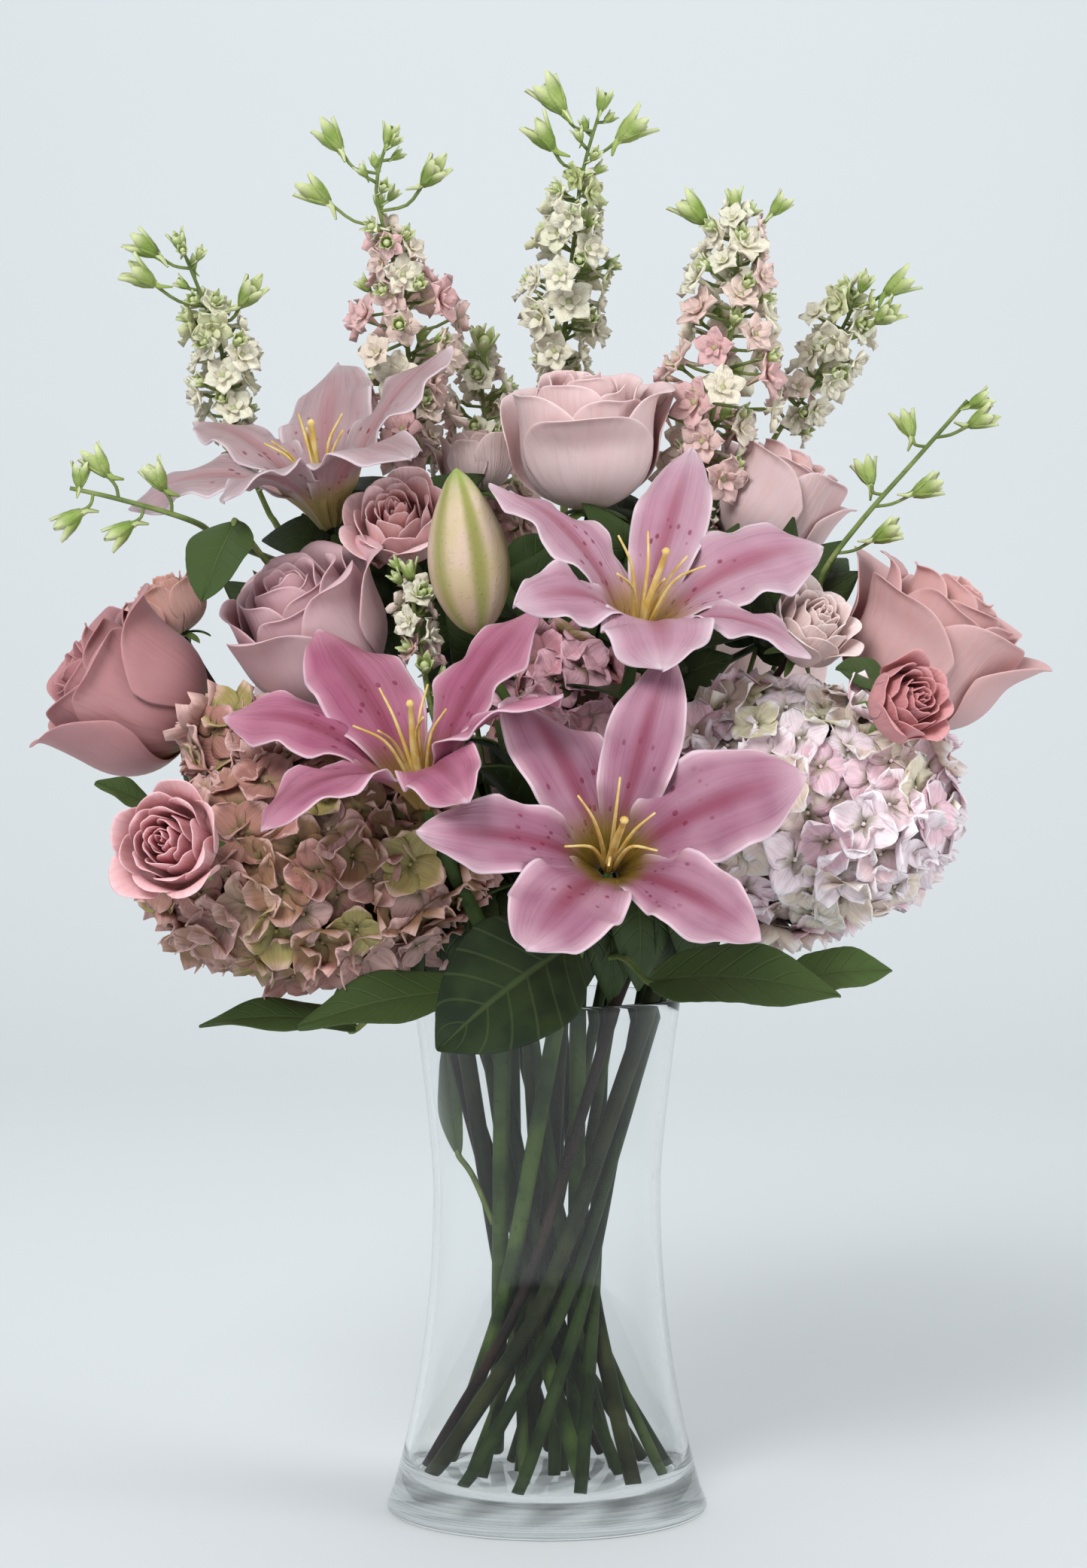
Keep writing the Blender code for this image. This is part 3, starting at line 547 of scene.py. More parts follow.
# facing, the turn of each tepal, how far each curls back, how much each twists, and the colours
lilies = {
    "lily_front": {
        "facing": (0.03, -0.89, 0.46),
        "turns": (16, 72, 118, 184, 240, 316),
        "curls": (102, 98, 144, 92, 72, 88),
        "twists": (14, -24, 62, -16, 10, 22),
        "body": (0.309, 0.125, 0.196),
        "light": (0.538, 0.344, 0.406),
        "stripe": (0.227, 0.044, 0.0851),
        "throat": (0.213, 0.138, 0.0255),
    },
    "lily_left": {
        "facing": (-0.20, -0.43, 0.88),
        "turns": (-4, 60, 140, 184, 248, 312),
        "curls": (86, 82, 86, 102, 118, 110),
        "twists": (-30, 14, 22, -24, 16, 20),
        "body": (0.331, 0.0904, 0.162),
        "light": (0.504, 0.236, 0.314),
        "stripe": (0.232, 0.0462, 0.0858),
        "throat": (0.221, 0.121, 0.0304),
    },
    "lily_right": {
        "facing": (0.18, -0.50, 0.85),
        "turns": (8, 62, 136, 206, 254, 304),
        "curls": (102, 78, 98, 104, 108, 110),
        "twists": (20, -18, 26, -34, 22, -16),
        "body": (0.41, 0.206, 0.279),
        "light": (0.538, 0.386, 0.439),
        "stripe": (0.304, 0.091, 0.14),
        "throat": (0.35, 0.217, 0.0805),
    },
    "lily_back_left": {
        "facing": (-0.24, -0.24, 0.94),
        "turns": (-12, 62, 122, 176, 226, 290),
        "curls": (116, 78, 84, 96, 122, 112),
        "twists": (-10, 12, -16, 14, -12, 16),
        "body": (0.356, 0.231, 0.247),
        "light": (0.436, 0.34, 0.354),
        "stripe": (0.34, 0.163, 0.178),
        "throat": (0.34, 0.266, 0.0911),
    },
}


def makeLilyMaterial(name, look):
    material, tree, sockets = newMaterial(name, 0.42, coat=0.10, glow=0.12)
    across, side, along = sheetCoordinates(tree)
    seed = markOf(tree, "seed")
    veins = useGroup(tree, veinGroup, Across=side, Along=along, Streaks=16.0, Seed=seed)
    mottle = useGroup(tree, mottleGroup, Size=38.0)
    edge = calculate(tree, "MAXIMUM", ease(tree, across, 0.62, 1.0), ease(tree, along, 0.80, 1.0))
    rim = calculate(tree, "MAXIMUM", ease(tree, across, 0.90, 0.98), ease(tree, along, 0.95, 0.99))
    stripe = times(tree, ease(tree, across, 0.02, 0.34, 1.0, 0.0), ease(tree, along, 0.6, 0.98, 1.0, 0.0))
    # raised spots on the lower half
    cells = tree.nodes.new("ShaderNodeTexVoronoi")
    grid = joinXYZ(tree, times(tree, side, 4.2), times(tree, along, 14.0), seed)
    feed(tree, cells.inputs["Vector"], grid)
    cells.inputs["Scale"].default_value = 1.0
    reach = times(tree, ease(tree, along, 0.50, 0.68, 1.0, 0.0), ease(tree, across, 0.55, 0.85, 1.0, 0.0))
    spot = times(tree, ease(tree, cells.outputs["Distance"], 0.13, 0.24, 1.0, 0.0), reach)
    colour = layered(
        tree,
        look["body"],
        (times(tree, veins["Veins"], 0.35), toned(look["body"], 0.72)),
        (times(tree, mottle["Blotches"], 0.30), look["light"]),
        (edge, look["light"]),
        (times(tree, rim, 0.45), lilyShape["rimColour"]),
        (times(tree, stripe, 0.85), look["stripe"]),
        (times(tree, spot, 0.8), lilyShape["spotColour"]),
        (ease(tree, along, 0.14, 0.34, 1.0, 0.0), look["throat"]),
    )
    feed(tree, sockets["Base Color"], colour)
    relief = calculate(tree, "MULTIPLY_ADD", spot, 1.4, times(tree, veins["Veins"], 0.5))
    bumpFrom(tree, sockets, relief, 0.0006)
    return material


def tepalSpine(curl, steps):
    # (distance from the axis, height, lean) along a tepal's middle, from foot to tip
    radius, height = lilyShape["tubeRadius"], 0.0
    step = lilyShape["length"] / steps
    spine = []
    for k in range(steps + 1):
        grown = (k / steps) ** lilyShape["curlGrowth"]
        lean = math.radians(lilyShape["tubeLean"] + (curl - lilyShape["tubeLean"]) * grown)
        spine.append((radius, height, lean))
        radius += math.sin(lean) * step
        height += math.cos(lean) * step
    return spine


def addTepal(name, turn, curl, twist, width, seed, inner):
    steps = lilyShape["along"] * 2
    spine = tepalSpine(curl, steps)
    out, side = around(math.radians(turn))

    def surface(u, v):
        radius, height, lean = spine[round(v * steps)]
        inward = up * math.sin(lean) - out * math.cos(lean)
        swell = max(0.0, math.sin(math.pi * (0.08 + 0.92 * v) ** 1.45)) ** 0.80
        half = max(width / 2 * swell, 0.68 * radius * (1 - v) ** 6)
        cup = (lilyShape["cup"] * (1 - v) ** 1.5 - lilyShape["rollBack"] * v**2.5) * u * u * half
        groove = -lilyShape["groove"] * math.exp(-((u / 0.15) ** 2)) * (1 - v**4)
        edge = abs(u) ** 2.6 * min(1.0, 2.2 * v) * (1 - v**6)
        turns = 2 * math.pi * lilyShape["ruffles"] * v
        wave = math.sin(turns + seed * 3 + (2.1 if u > 0 else 0.0))
        small = math.sin(turns * 2.7 + seed * 5 - (1.3 if u > 0 else 0.0))
        rise = cup + groove + edge * lilyShape["ruffle"] * (wave + 0.35 * small)
        rise += lilyShape["wander"] * noise.noise(Vector((u * 1.3, v * 3.5, seed * 4.7))) * v
        if inner:  # the three inner tepals lie over the outer ones at the foot
            rise += 0.0009 * (1 - v)
        roll = math.radians(twist) * v**1.6
        place = side * (u * half * math.cos(roll)) + inward * (rise + u * half * math.sin(roll))
        return out * radius + up * height + place

    return makeSheet(name, lilyShape["across"], lilyShape["along"], surface, seed=seed)


def addFilaments(name):
    # the filaments, and the style in the middle
    tubes = []
    for k in range(lilyShape["filaments"]):
        out = around(math.radians(60 * k + 22))[0]
        reach = lilyShape["filamentLength"] * (0.95 + 0.08 * (k % 3))
        tip = 0.018 + 0.003 * (k % 2)
        bends = ((0.002, 0.004), (0.005, reach * 0.45), (0.010, reach * 0.78), (tip, reach))
        line = smoothLine([out * away + up * height for away, height in bends], 4)
        tubes.append(tapered(line, lilyShape["filamentRadius"] * 1.25, lilyShape["filamentRadius"] * 0.5))
    places = ((0, 0, 0.002), (0.001, 0, 0.024), (0.004, 0.001, 0.046))
    style = smoothLine([Vector(place) for place in places], 4)
    swell = [lilyShape["styleRadius"] * (1 - 0.5 * i / len(style)) for i in range(len(style))]
    style += [style[-1] + up * 0.0014, style[-1] + up * 0.0028]
    tubes.append((style, swell + [0.0019, 0.0009]))
    return addTubes(name, tubes)


def addLily(node, look, number):
    tepals = []
    for i, (turn, curl, twist) in enumerate(zip(look["turns"], look["curls"], look["twists"])):
        width = lilyShape["outerWidth" if i % 2 else "innerWidth"]
        tepals.append(addTepal(node, turn, curl, twist, width, 1.37 * i + 1.3 * number, i % 2 == 0))
    bloom = thicken(tepals, node + "_petals", lilyShape["thickness"])
    filaments = addFilaments(node + "_filaments")
    for piece in (bloom, filaments):
        piece.data.transform(standOn(node, look["facing"]))
    finishPiece(bloom, makeLilyMaterial(node + "Petal", look), "lily_petal", node)
    finishPiece(filaments, plainMaterials["goldenFilament"], "lily_petal")


for number, (node, look) in enumerate(lilies.items()):
    addLily(node, look, number)
print("four lilies are open")

budShape = {
    "facing": (-0.13, -0.04, 0.99),
    "segments": 36,
    "rings": 28,
    "lobe": 0.0165,
    "groove": 0.10,
    "rib": 0.03,
    "blotches": ((0.54, 0.44, 0.27), (0.60, 0.46, 0.36)),
    "footColour": (0.36, 0.23, 0.13),
    "ribColour": (0.28, 0.27, 0.08),
    "tipColour": (0.26, 0.33, 0.08),
}


def makeBudMaterial():
    material, tree, sockets = newMaterial("budSkin", 0.42, coat=0.15, glow=0.08)
    along = sheetCoordinates(tree)[2]
    mottle = useGroup(tree, mottleGroup, Size=70.0)
    colour = layered(
        tree,
        budShape["blotches"][0],
        (mottle["Blotches"], budShape["blotches"][1]),
        (ease(tree, along, 0.05, 0.55, 0.8, 0.0), budShape["footColour"]),
        (ease(tree, markOf(tree, "rib"), 0.15, 0.9), budShape["ribColour"]),
        (ease(tree, along, 0.66, 0.95), budShape["tipColour"]),
    )
    feed(tree, sockets["Base Color"], colour)
    bumpFrom(tree, sockets, mottle["Specks"], 0.0003)
    return material


def addBud():
    tall, wide = reachOf("lily_bud", budShape["facing"])
    deselectAll()
    segments, rings = budShape["segments"], budShape["rings"]
    bpy.ops.mesh.primitive_uv_sphere_add(segments=segments, ring_count=rings, radius=1)
    bud = bpy.context.object
    bud.name = "lily_bud_skin"
    ribs = []
    for vertex in bud.data.vertices:
        along = 0.5 + 0.5 * vertex.co.z
        angle = math.atan2(vertex.co.y, vertex.co.x)
        ring = min(1.0, math.hypot(vertex.co.x, vertex.co.y))
        swell = (math.sin(math.pi * along**0.82) * 0.94 + 0.06) ** 0.8
        join = abs(math.cos(1.5 * angle)) ** 14  # the three seams where the tepals meet
        rib = abs(math.sin(1.5 * angle)) ** 10
        bulge = 1 + budShape["lobe"] * math.cos(3 * angle) - budShape["groove"] * join + budShape["rib"] * rib
        reach = wide * min(swell, 4 * ring) * bulge * (0.25 + 0.75 * min(1.0, ring * 2.2))
        vertex.co = Vector((reach * math.cos(angle), reach * math.sin(angle), tall * along))
        ribs.append(max(join, rib * 0.8))
    bud.data.attributes.new("rib", "FLOAT", "POINT").data.foreach_set("value", ribs)
    smoothAndApply(bud, 1)
    bud.data.transform(standOn("lily_bud", budShape["facing"]))
    finishPiece(bud, makeBudMaterial(), "lily_bud", "lily_bud")


addBud()
print("the lily bud is closed")

# how petals spiral out and wrap round: the garden roses, then the fuller and smaller spray roses
roseShape = {
    "petals": 25, "thickness": 0.0008, "across": 10, "along": 14, "heart": 0.09, "spread": 0.80,
    "wrapHeart": 1.9, "wrapOuter": 1.02, "lip": 0.13, "roll": 150, "ruffle": 0.05,
}
sprayShape = {
    "petals": 34, "thickness": 0.0006, "across": 6, "along": 8, "heart": 0.08, "spread": 0.84,
    "wrapHeart": 1.2, "wrapOuter": 0.66, "lip": 0.12, "roll": 110, "ruffle": 0.13,
}
roseFootColour = (0.52, 0.46, 0.26)
goldenTurn = math.radians(137.5)  # each petal, floret or leaf stands this far round from the last

# facing, how open, the colour of the heart and the colour of the outer petals
roses = {
    "rose_left": ((-0.80, -0.15, 0.50), 0.35, (0.42, 0.16, 0.17), (0.41, 0.20, 0.21)),
    "rose_centre_left": ((-0.42, -0.40, 0.80), 0.30, (0.6, 0.32, 0.36), (0.62, 0.41, 0.44)),
    "rose_top": ((-0.05, -0.22, 0.97), 0.75, (0.58, 0.34, 0.34), (0.72, 0.54, 0.54)),
    "rose_right": ((0.52, -0.10, 0.85), 0.95, (0.58, 0.27, 0.23), (0.58, 0.36, 0.36)),
    "rose_upper_right": ((0.50, 0.0, 0.87), 0.45, (0.60, 0.29, 0.22), (0.64, 0.47, 0.48)),
    "rose_back_left": ((-0.50, 0.62, 0.60), 0.60, (0.52, 0.28, 0.30), (0.66, 0.48, 0.49)),
    "rose_back_right": ((0.42, 0.70, 0.56), 0.70, (0.56, 0.30, 0.28), (0.70, 0.53, 0.52)),
}
sprayRoses = {
    "spray_rose_lower_left": ((-0.30, -0.93, 0.20), 0.80, (0.58, 0.16, 0.18), (0.76, 0.46, 0.48)),
    "spray_rose_upper_left": ((-0.40, -0.10, 0.90), 0.60, (0.62, 0.24, 0.18), (0.74, 0.44, 0.38)),
    "spray_rose_top_left": ((-0.15, -0.75, 0.62), 0.90, (0.72, 0.26, 0.24), (0.82, 0.56, 0.57)),
    "spray_rose_inner_right": ((0.45, -0.62, 0.64), 0.85, (0.60, 0.40, 0.36), (0.74, 0.60, 0.58)),
    "spray_rose_outer_right": ((0.55, -0.80, 0.22), 0.45, (0.44, 0.13, 0.14), (0.58, 0.27, 0.28)),
    "spray_rose_top_back": ((-0.10, 0.10, 0.98), 0.60, (0.54, 0.26, 0.24), (0.66, 0.50, 0.48)),
}


def makeRoseMaterial(name, heartColour, petalColour):
    material, tree, sockets = newMaterial(name, 0.55, glow=0.18)
    side, along = sheetCoordinates(tree)[1:]
    layer = markOf(tree, "layer")
    veins = useGroup(tree, veinGroup, Across=side, Along=along, Streaks=11.0, Seed=times(tree, layer, 40.0))
    colour = layered(
        tree,
        heartColour,
        (ease(tree, layer, 0.12, 0.85), petalColour),
        (times(tree, ease(tree, along, 0.72, 1.0), 0.75), toned(petalColour, 1.10, 0.03)),
        (times(tree, veins["Veins"], 0.16), heartColour),
        (ease(tree, along, 0.05, 0.34, 0.75, 0.0), roseFootColour),
    )
    feed(tree, sockets["Base Color"], colour)
    feed(tree, sockets["Roughness"], ease(tree, veins["Cells"], 0.3, 0.7, 0.50, 0.64))
    bumpFrom(tree, sockets, veins["Veins"], 0.0003, 0.4)
    return material


def addRosePetal(name, shape, number, radius, height, opening):
    layer = (number / (shape["petals"] - 1)) ** 0.9
    angle = goldenTurn * number
    seed = number + 1.7 * len(name)
    reach = radius * (shape["heart"] + shape["spread"] * layer)
    widest = height * (0.34 + 0.14 * layer)
    tall = height * (0.95 + 0.05 * math.sin(5.1 * seed) - (0.10 + 0.16 * opening) * layer**2)
    pinch = 0.34 * (1 - layer) ** 0.7
    flare = radius * (0.01 + 0.24 * opening) * layer**2.5
    lip = radius * shape["lip"] * (0.15 + 0.85 * layer)
    roll = math.radians(25 + shape["roll"] * layer * (0.65 + 0.35 * math.sin(3.7 * seed)))
    wrap = shape["wrapHeart"] + (shape["wrapOuter"] - shape["wrapHeart"]) * min(1.0, layer * 1.5)
    drop = 0.26 + 0.16 * layer
    ruffle = shape["ruffle"]
    bowl, turned = 0.5, 0.84  # the shares of a petal where its bowl ends and where its lip turns over

    def surface(u, v):
        v *= 1 - drop * abs(u) ** 2.3
        if v < bowl:
            bend = v * math.pi
            out, high = reach * math.sin(bend) ** 0.85, widest * (1 - math.cos(bend))
        elif v < turned:
            rise = (v - bowl) / (turned - bowl)
            out = reach * (1 - pinch * rise**1.4) + flare * rise**1.8
            high = widest + (tall - widest) * rise
        else:
            bend = (v - turned) / (1 - turned) * roll
            out = reach * (1 - pinch) + flare + lip * (1 - math.cos(bend))
            high = tall + lip * math.sin(bend)
        out += u * (0.030 * reach + 0.0004) + 0.9 * lip * max(0.0, abs(u) - 0.5) ** 1.5 * v
        out += ruffle * radius * (0.25 + layer) * noise.noise(Vector((u * 1.5, v * 2.0, seed * 3.1))) * v
        high += ruffle * height * noise.noise(Vector((u * 2.1, seed * 5.3, v))) * v
        return around(angle + u * wrap * min(1.0, 0.34 + 1.5 * v))[0] * out + up * high

    return makeSheet(name, shape["across"], shape["along"], surface, layer=layer)


def addCalyx(name, radius):
    # five narrow sepals that curl down under the flower, and the swelling that they grow from
    sepals = []
    for k in range(5):
        out, side = around(math.radians(72 * k + 20))

        def surface(u, v):
            half = radius * 0.13 * (1 - v) ** 0.7 * (0.6 + 1.2 * v)
            bend = math.radians(70 + 50 * v)
            place = out * radius * (0.06 + 0.62 * v * math.sin(bend)) - up * radius * (0.02 + 0.34 * v * v)
            return place + side * half * u - up * abs(u) * half * 0.35

        sepals.append(makeSheet(name, 4, 7, surface))
    calyx = thicken(sepals, name, 0.0009)
    swelling = ((-0.10, 0.09), (-0.02, 0.19), (0.10, 0.17), (0.16, 0.05))  # height and radius, as shares
    hip = [up * height * radius for height, width in swelling], [width * radius for height, width in swelling]
    return joinPieces([calyx, addTubes(name + "Hip", [hip])], name)


def addRose(node, look, shape, slotName):
    facing, opening, heartColour, petalColour = look
    tall, wide = reachOf(node, facing)
    petals = [addRosePetal(node, shape, i, wide, tall, opening) for i in range(shape["petals"])]
    bloom = thicken(petals, node + "_petals", shape["thickness"])
    calyx = addCalyx(node + "_calyx", wide)
    for piece in (bloom, calyx):
        piece.data.transform(standOn(node, facing))
    finishPiece(bloom, makeRoseMaterial(node + "Petal", heartColour, petalColour), slotName, node)
    finishPiece(calyx, plainMaterials["sepalGreen"], "leaf")


for node, look in roses.items():
    addRose(node, look, roseShape, "rose_petal")
for node, look in sprayRoses.items():
    addRose(node, look, sprayShape, "spray_rose_petal")
print("roses and spray roses are open")

hydrangeaShape = {
    "floret": 0.0150,
    "spacing": 0.0138,
    "heart": 0.78,
    "tilt": 0.42,
    "lumps": 0.10,
    "cups": (-0.10, 0.10, 0.34),
    "thickness": 0.0005,
    "bead": (0.0011, (0, 0, 0.0008)),
    "footColour": (0.20, 0.19, 0.07),
}

# seed and the colours of a head: main, shaded, green and pale
# a lobe is a smaller cluster beside the head: its middle, measured from the rim, and its half sizes
hydrangeas = {
    "hydrangea_left": {
        "seed": 4,
        "colours": ((0.42, 0.20, 0.17), (0.29, 0.17, 0.09), (0.35, 0.30, 0.11), (0.62, 0.39, 0.36)),
        "lobes": (((-0.133, -0.038, 0.110), (0.024, 0.020, 0.022)),),
    },
    "hydrangea_right": {
        "seed": 5,
        "colours": ((0.78, 0.52, 0.59), (0.76, 0.64, 0.54), (0.72, 0.68, 0.46), (0.88, 0.75, 0.79)),
    },
    "hydrangea_centre": {
        "seed": 6,
        "colours": ((0.58, 0.27, 0.32), (0.44, 0.22, 0.19), (0.32, 0.26, 0.12), (0.68, 0.40, 0.46)),
    },
    "hydrangea_back": {
        "seed": 7,
        "colours": ((0.54, 0.36, 0.37), (0.46, 0.34, 0.25), (0.42, 0.38, 0.19), (0.64, 0.50, 0.52)),
    },
}


def makeFloretMaterial(name, colours):
    main, shaded, green, pale = colours
    material, tree, sockets = newMaterial(name, 0.6, glow=0.1)
    side, along = sheetCoordinates(tree)[1:]
    tone = markOf(tree, "tone")
    mottle = useGroup(tree, mottleGroup, Size=160.0)
    veins = useGroup(tree, veinGroup, Across=side, Along=along, Streaks=9.0, Seed=times(tree, tone, 9.0))
    colour = layered(
        tree,
        shaded,
        (ease(tree, tone, 0.15, 0.40), main),
        (ease(tree, tone, 0.50, 0.70), pale),
        (ease(tree, tone, 0.84, 0.90), green),
        (times(tree, ease(tree, along, 0.70, 1.0), 0.6), toned(pale, 1.25, 0.03)),
        (times(tree, veins["Veins"], 0.30), toned(main, 0.55)),
        (times(tree, mottle["Specks"], 0.22), green),
        (ease(tree, along, 0.0, 0.35, 0.7, 0.0), hydrangeaShape["footColour"]),
    )
    feed(tree, sockets["Base Color"], colour)
    bumpFrom(tree, sockets, veins["Veins"], 0.0003, 0.5)
    return material


def makeFloret(cup):
    # four broad sepals, two over two, with a small bead in the middle
    size = hydrangeaShape["floret"]
    sepals = []
    for k in range(4):
        out, side = around(math.pi / 2 * k)
        lift = 0.0006 * (k % 2)

        def surface(u, v):
            half = size * 0.52 * math.sin(math.pi * (0.10 + 0.80 * v)) ** 0.75
            wave = 0.05 * math.sin(4 * v + 2 * k + 3 * u)
            dish = size * (cup * v * v + (0.10 + 0.5 * cup) * u * u * v + wave)
            away = size * (0.05 + 0.95 * v * (1 - 0.12 * u * u))
            return out * away + side * half * u + up * (dish + lift)

        sepals.append(makeSheet("sepal", 4, 4, surface, tone=0.0))
    floret = thicken(sepals, "floret", hydrangeaShape["thickness"], smoothing=0)
    deselectAll()
    beadSize, beadPlace = hydrangeaShape["bead"]
    bpy.ops.mesh.primitive_ico_sphere_add(subdivisions=1, radius=beadSize, location=beadPlace)
    bead = bpy.context.object
    bpy.ops.object.transform_apply(location=True)
    markPiece(bead, tone=0.0)
    return joinPieces([floret, bead], "floret")


def spreadFlorets(middle, half, seed, kinds):
    # florets spread evenly over an egg shape, each turned and tipped a little by chance
    draw = random.Random(seed)
    sides = ((half.x * half.y) ** 1.6 + (half.x * half.z) ** 1.6 + (half.y * half.z) ** 1.6) / 3
    count = round(4 * math.pi * sides ** (1 / 1.6) / hydrangeaShape["spacing"] ** 2 / 1.35)
    inset = hydrangeaShape["floret"] * 0.35
    florets = []
    for k in range(count):
        z = 1 - 2 * (k + 0.5) / count
        facing = around(goldenTurn * k)[0] * math.sqrt(1 - z * z) + up * z
        place = Vector(part * (size - inset) for part, size in zip(facing, half))
        normal = Vector(part / size for part, size in zip(facing, half)).normalized()
        jitter = Vector(draw.uniform(-1, 1) for axis in "xyz")
        normal = (normal + jitter * hydrangeaShape["tilt"]).normalized()
        lump = hydrangeaShape["lumps"] * noise.noise(facing * 2.4 + up * seed)
        place *= 1 + lump - draw.uniform(0, 0.12)
        spin = draw.uniform(0, 6.28)
        spot = placed(middle + place, normal, draw.uniform(0.82, 1.12), spin)
        florets.append(addCopy(draw.choice(kinds), spot, tone=draw.random()))
    return florets


def addHydrangea(node, look, kinds):
    low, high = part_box(node)
    middle = (low + high) / 2
    florets = spreadFlorets(middle, (high - low) / 2, look["seed"], kinds)
    for place, size in look.get("lobes", ()):
        florets += spreadFlorets(fromRim(place), Vector(size), look["seed"], kinds)
    head = joinPieces(florets, node + "_florets")
    finishPiece(head, makeFloretMaterial(node + "Floret", look["colours"]), "hydrangea_petal", node)
    # the shaded heart of small branches behind the florets
    heart = copyOfCad(node, node + "_heart")
    shrink = Matrix.Scale(hydrangeaShape["heart"], 4)
    heart.data.transform(Matrix.Translation(middle) @ shrink @ Matrix.Translation(-middle))
    mergeMesh(heart)
    bpy.ops.object.shade_smooth()
    finishPiece(heart, plainMaterials["heartShade"], "stem")


floretKinds = [makeFloret(cup) for cup in hydrangeaShape["cups"]]
for node, look in hydrangeas.items():
    addHydrangea(node, look, floretKinds)
for floret in floretKinds:
    discard(floret)
print("hydrangea heads are full")

larkspurShape = {
    "floret": 0.0122,
    "thickness": 0.0005,
    "spacing": 0.0043,
    "fullness": 22,  # how many more florets a wide column carries
    "bare": 0.0075,  # where the column is narrower than this, it carries only buds
    "bareBud": 0.0034,
    "twinBud": 0.0030,
    "tipBud": 0.0036,
    "endBud": 0.0040,
    "pedicel": 0.0008,
    "stem": 0.0021,
    "shoot": (0.0016, 0.0009),
    "cut": 0.030,
    "petalColours": ((0.74, 0.44, 0.45), (0.80, 0.76, 0.61), (0.50, 0.56, 0.24)),
    "veinColour": (0.46, 0.38, 0.22),
    "footColour": (0.38, 0.42, 0.14),
    "budColours": ((0.20, 0.29, 0.06), (0.32, 0.40, 0.12), (0.62, 0.66, 0.38)),
}

# each spike's line from foot to tip, measured from the middle of the rim, how wide its column of
# florets is along the line, its side buds (share of the line, turn, reach, size) and any side shoot
larkspurs = {
    "larkspur_far_left": {
        "pink": 0.15,
        "line": (
            (-0.128, 0.086, 0.216), (-0.143, 0.078, 0.254), (-0.146, 0.066, 0.284),
            (-0.154, 0.054, 0.308), (-0.164, 0.040, 0.334),
        ),
        "column": (0.003, 0.014, 0.018, 0.005, 0.0016),
        "buds": ((0.70, 190, 0.022, 0.0058), (0.86, 170, 0.014, 0.0056), (0.62, 350, 0.018, 0.0056)),
        "shoot": (
            (-0.141, 0.014, 0.198), (-0.149, -0.020, 0.204), (-0.163, -0.030, 0.209),
            (-0.185, -0.030, 0.215), (-0.203, -0.030, 0.219),
        ),
        "shootBuds": (
            (0.45, 80, 0.010, 0.0050), (0.60, 270, 0.010, 0.0050), (0.72, 90, 0.010, 0.0052),
            (0.86, 270, 0.010, 0.0052),
        ),
    },
    "larkspur_left": {
        "pink": 0.85,
        "line": (
            (-0.060, 0.080, 0.226), (-0.061, 0.076, 0.256), (-0.063, 0.064, 0.292),
            (-0.068, 0.048, 0.322), (-0.075, 0.030, 0.352), (-0.068, 0.030, 0.380),
        ),
        "column": (0.014, 0.023, 0.026, 0.013, 0.0018, 0.0014),
        "buds": ((0.70, 160, 0.026, 0.0060), (0.74, 350, 0.026, 0.0056), (0.85, 175, 0.022, 0.0056)),
    },
    "larkspur_centre": {
        "pink": 0.2,
        "line": (
            (0.007, 0.092, 0.236), (0.006, 0.086, 0.270), (0.009, 0.072, 0.302),
            (0.012, 0.054, 0.332), (0.016, 0.040, 0.362), (0.026, 0.040, 0.396),
        ),
        "column": (0.003, 0.014, 0.021, 0.019, 0.006, 0.0014),
        "buds": ((0.84, 15, 0.014, 0.0062), (0.80, 190, 0.018, 0.0060), (0.90, 180, 0.018, 0.0066)),
    },
    "larkspur_right": {
        "pink": 0.8,
        "line": (
            (0.056, 0.036, 0.190), (0.066, 0.040, 0.224), (0.074, 0.034, 0.258), (0.081, 0.030, 0.292),
            (0.084, 0.030, 0.324), (0.082, 0.030, 0.352),
        ),
        "column": (0.014, 0.022, 0.026, 0.025, 0.016, 0.0030),
        "buds": ((0.84, 180, 0.016, 0.0060), (0.86, 0, 0.018, 0.0040)),
    },
    "larkspur_far_right": {
        "pink": 0.35,
        "cut": 0.095,
        "line": (
            (0.106, 0.098, 0.250), (0.120, 0.090, 0.270), (0.133, 0.078, 0.294),
            (0.144, 0.066, 0.318),
        ),
        "column": (0.012, 0.018, 0.017, 0.0030),
        "buds": ((0.82, 20, 0.014, 0.0056), (0.60, 320, 0.020, 0.0050)),
        "shoot": (
            (0.114, 0.024, 0.164), (0.120, 0.004, 0.184), (0.137, 0.000, 0.207),
            (0.160, 0.000, 0.233), (0.182, 0.000, 0.258),
        ),
        "shootBuds": (
            (0.55, 350, 0.014, 0.0052), (0.60, 150, 0.012, 0.0050), (0.80, 160, 0.012, 0.0048),
            (0.84, 330, 0.013, 0.0048), (0.34, 350, 0.014, 0.0050),
        ),
    },
    "larkspur_inner": {
        "pink": 0.6,
        "line": (
            (-0.050, -0.028, 0.128), (-0.054, -0.034, 0.152), (-0.057, -0.036, 0.172),
            (-0.059, -0.037, 0.188),
        ),
        "column": (0.003, 0.010, 0.009, 0.0030),
        "buds": (),
    },
    "larkspur_back": {
        "pink": 0.8,
        "line": (
            (-0.020, 0.100, 0.160), (-0.024, 0.104, 0.204), (-0.028, 0.106, 0.250),
            (-0.032, 0.106, 0.298),
        ),
        "column": (0.016, 0.023, 0.020, 0.0030),
        "buds": ((0.78, 100, 0.018, 0.0056), (0.86, 280, 0.014, 0.0052)),
    },
}


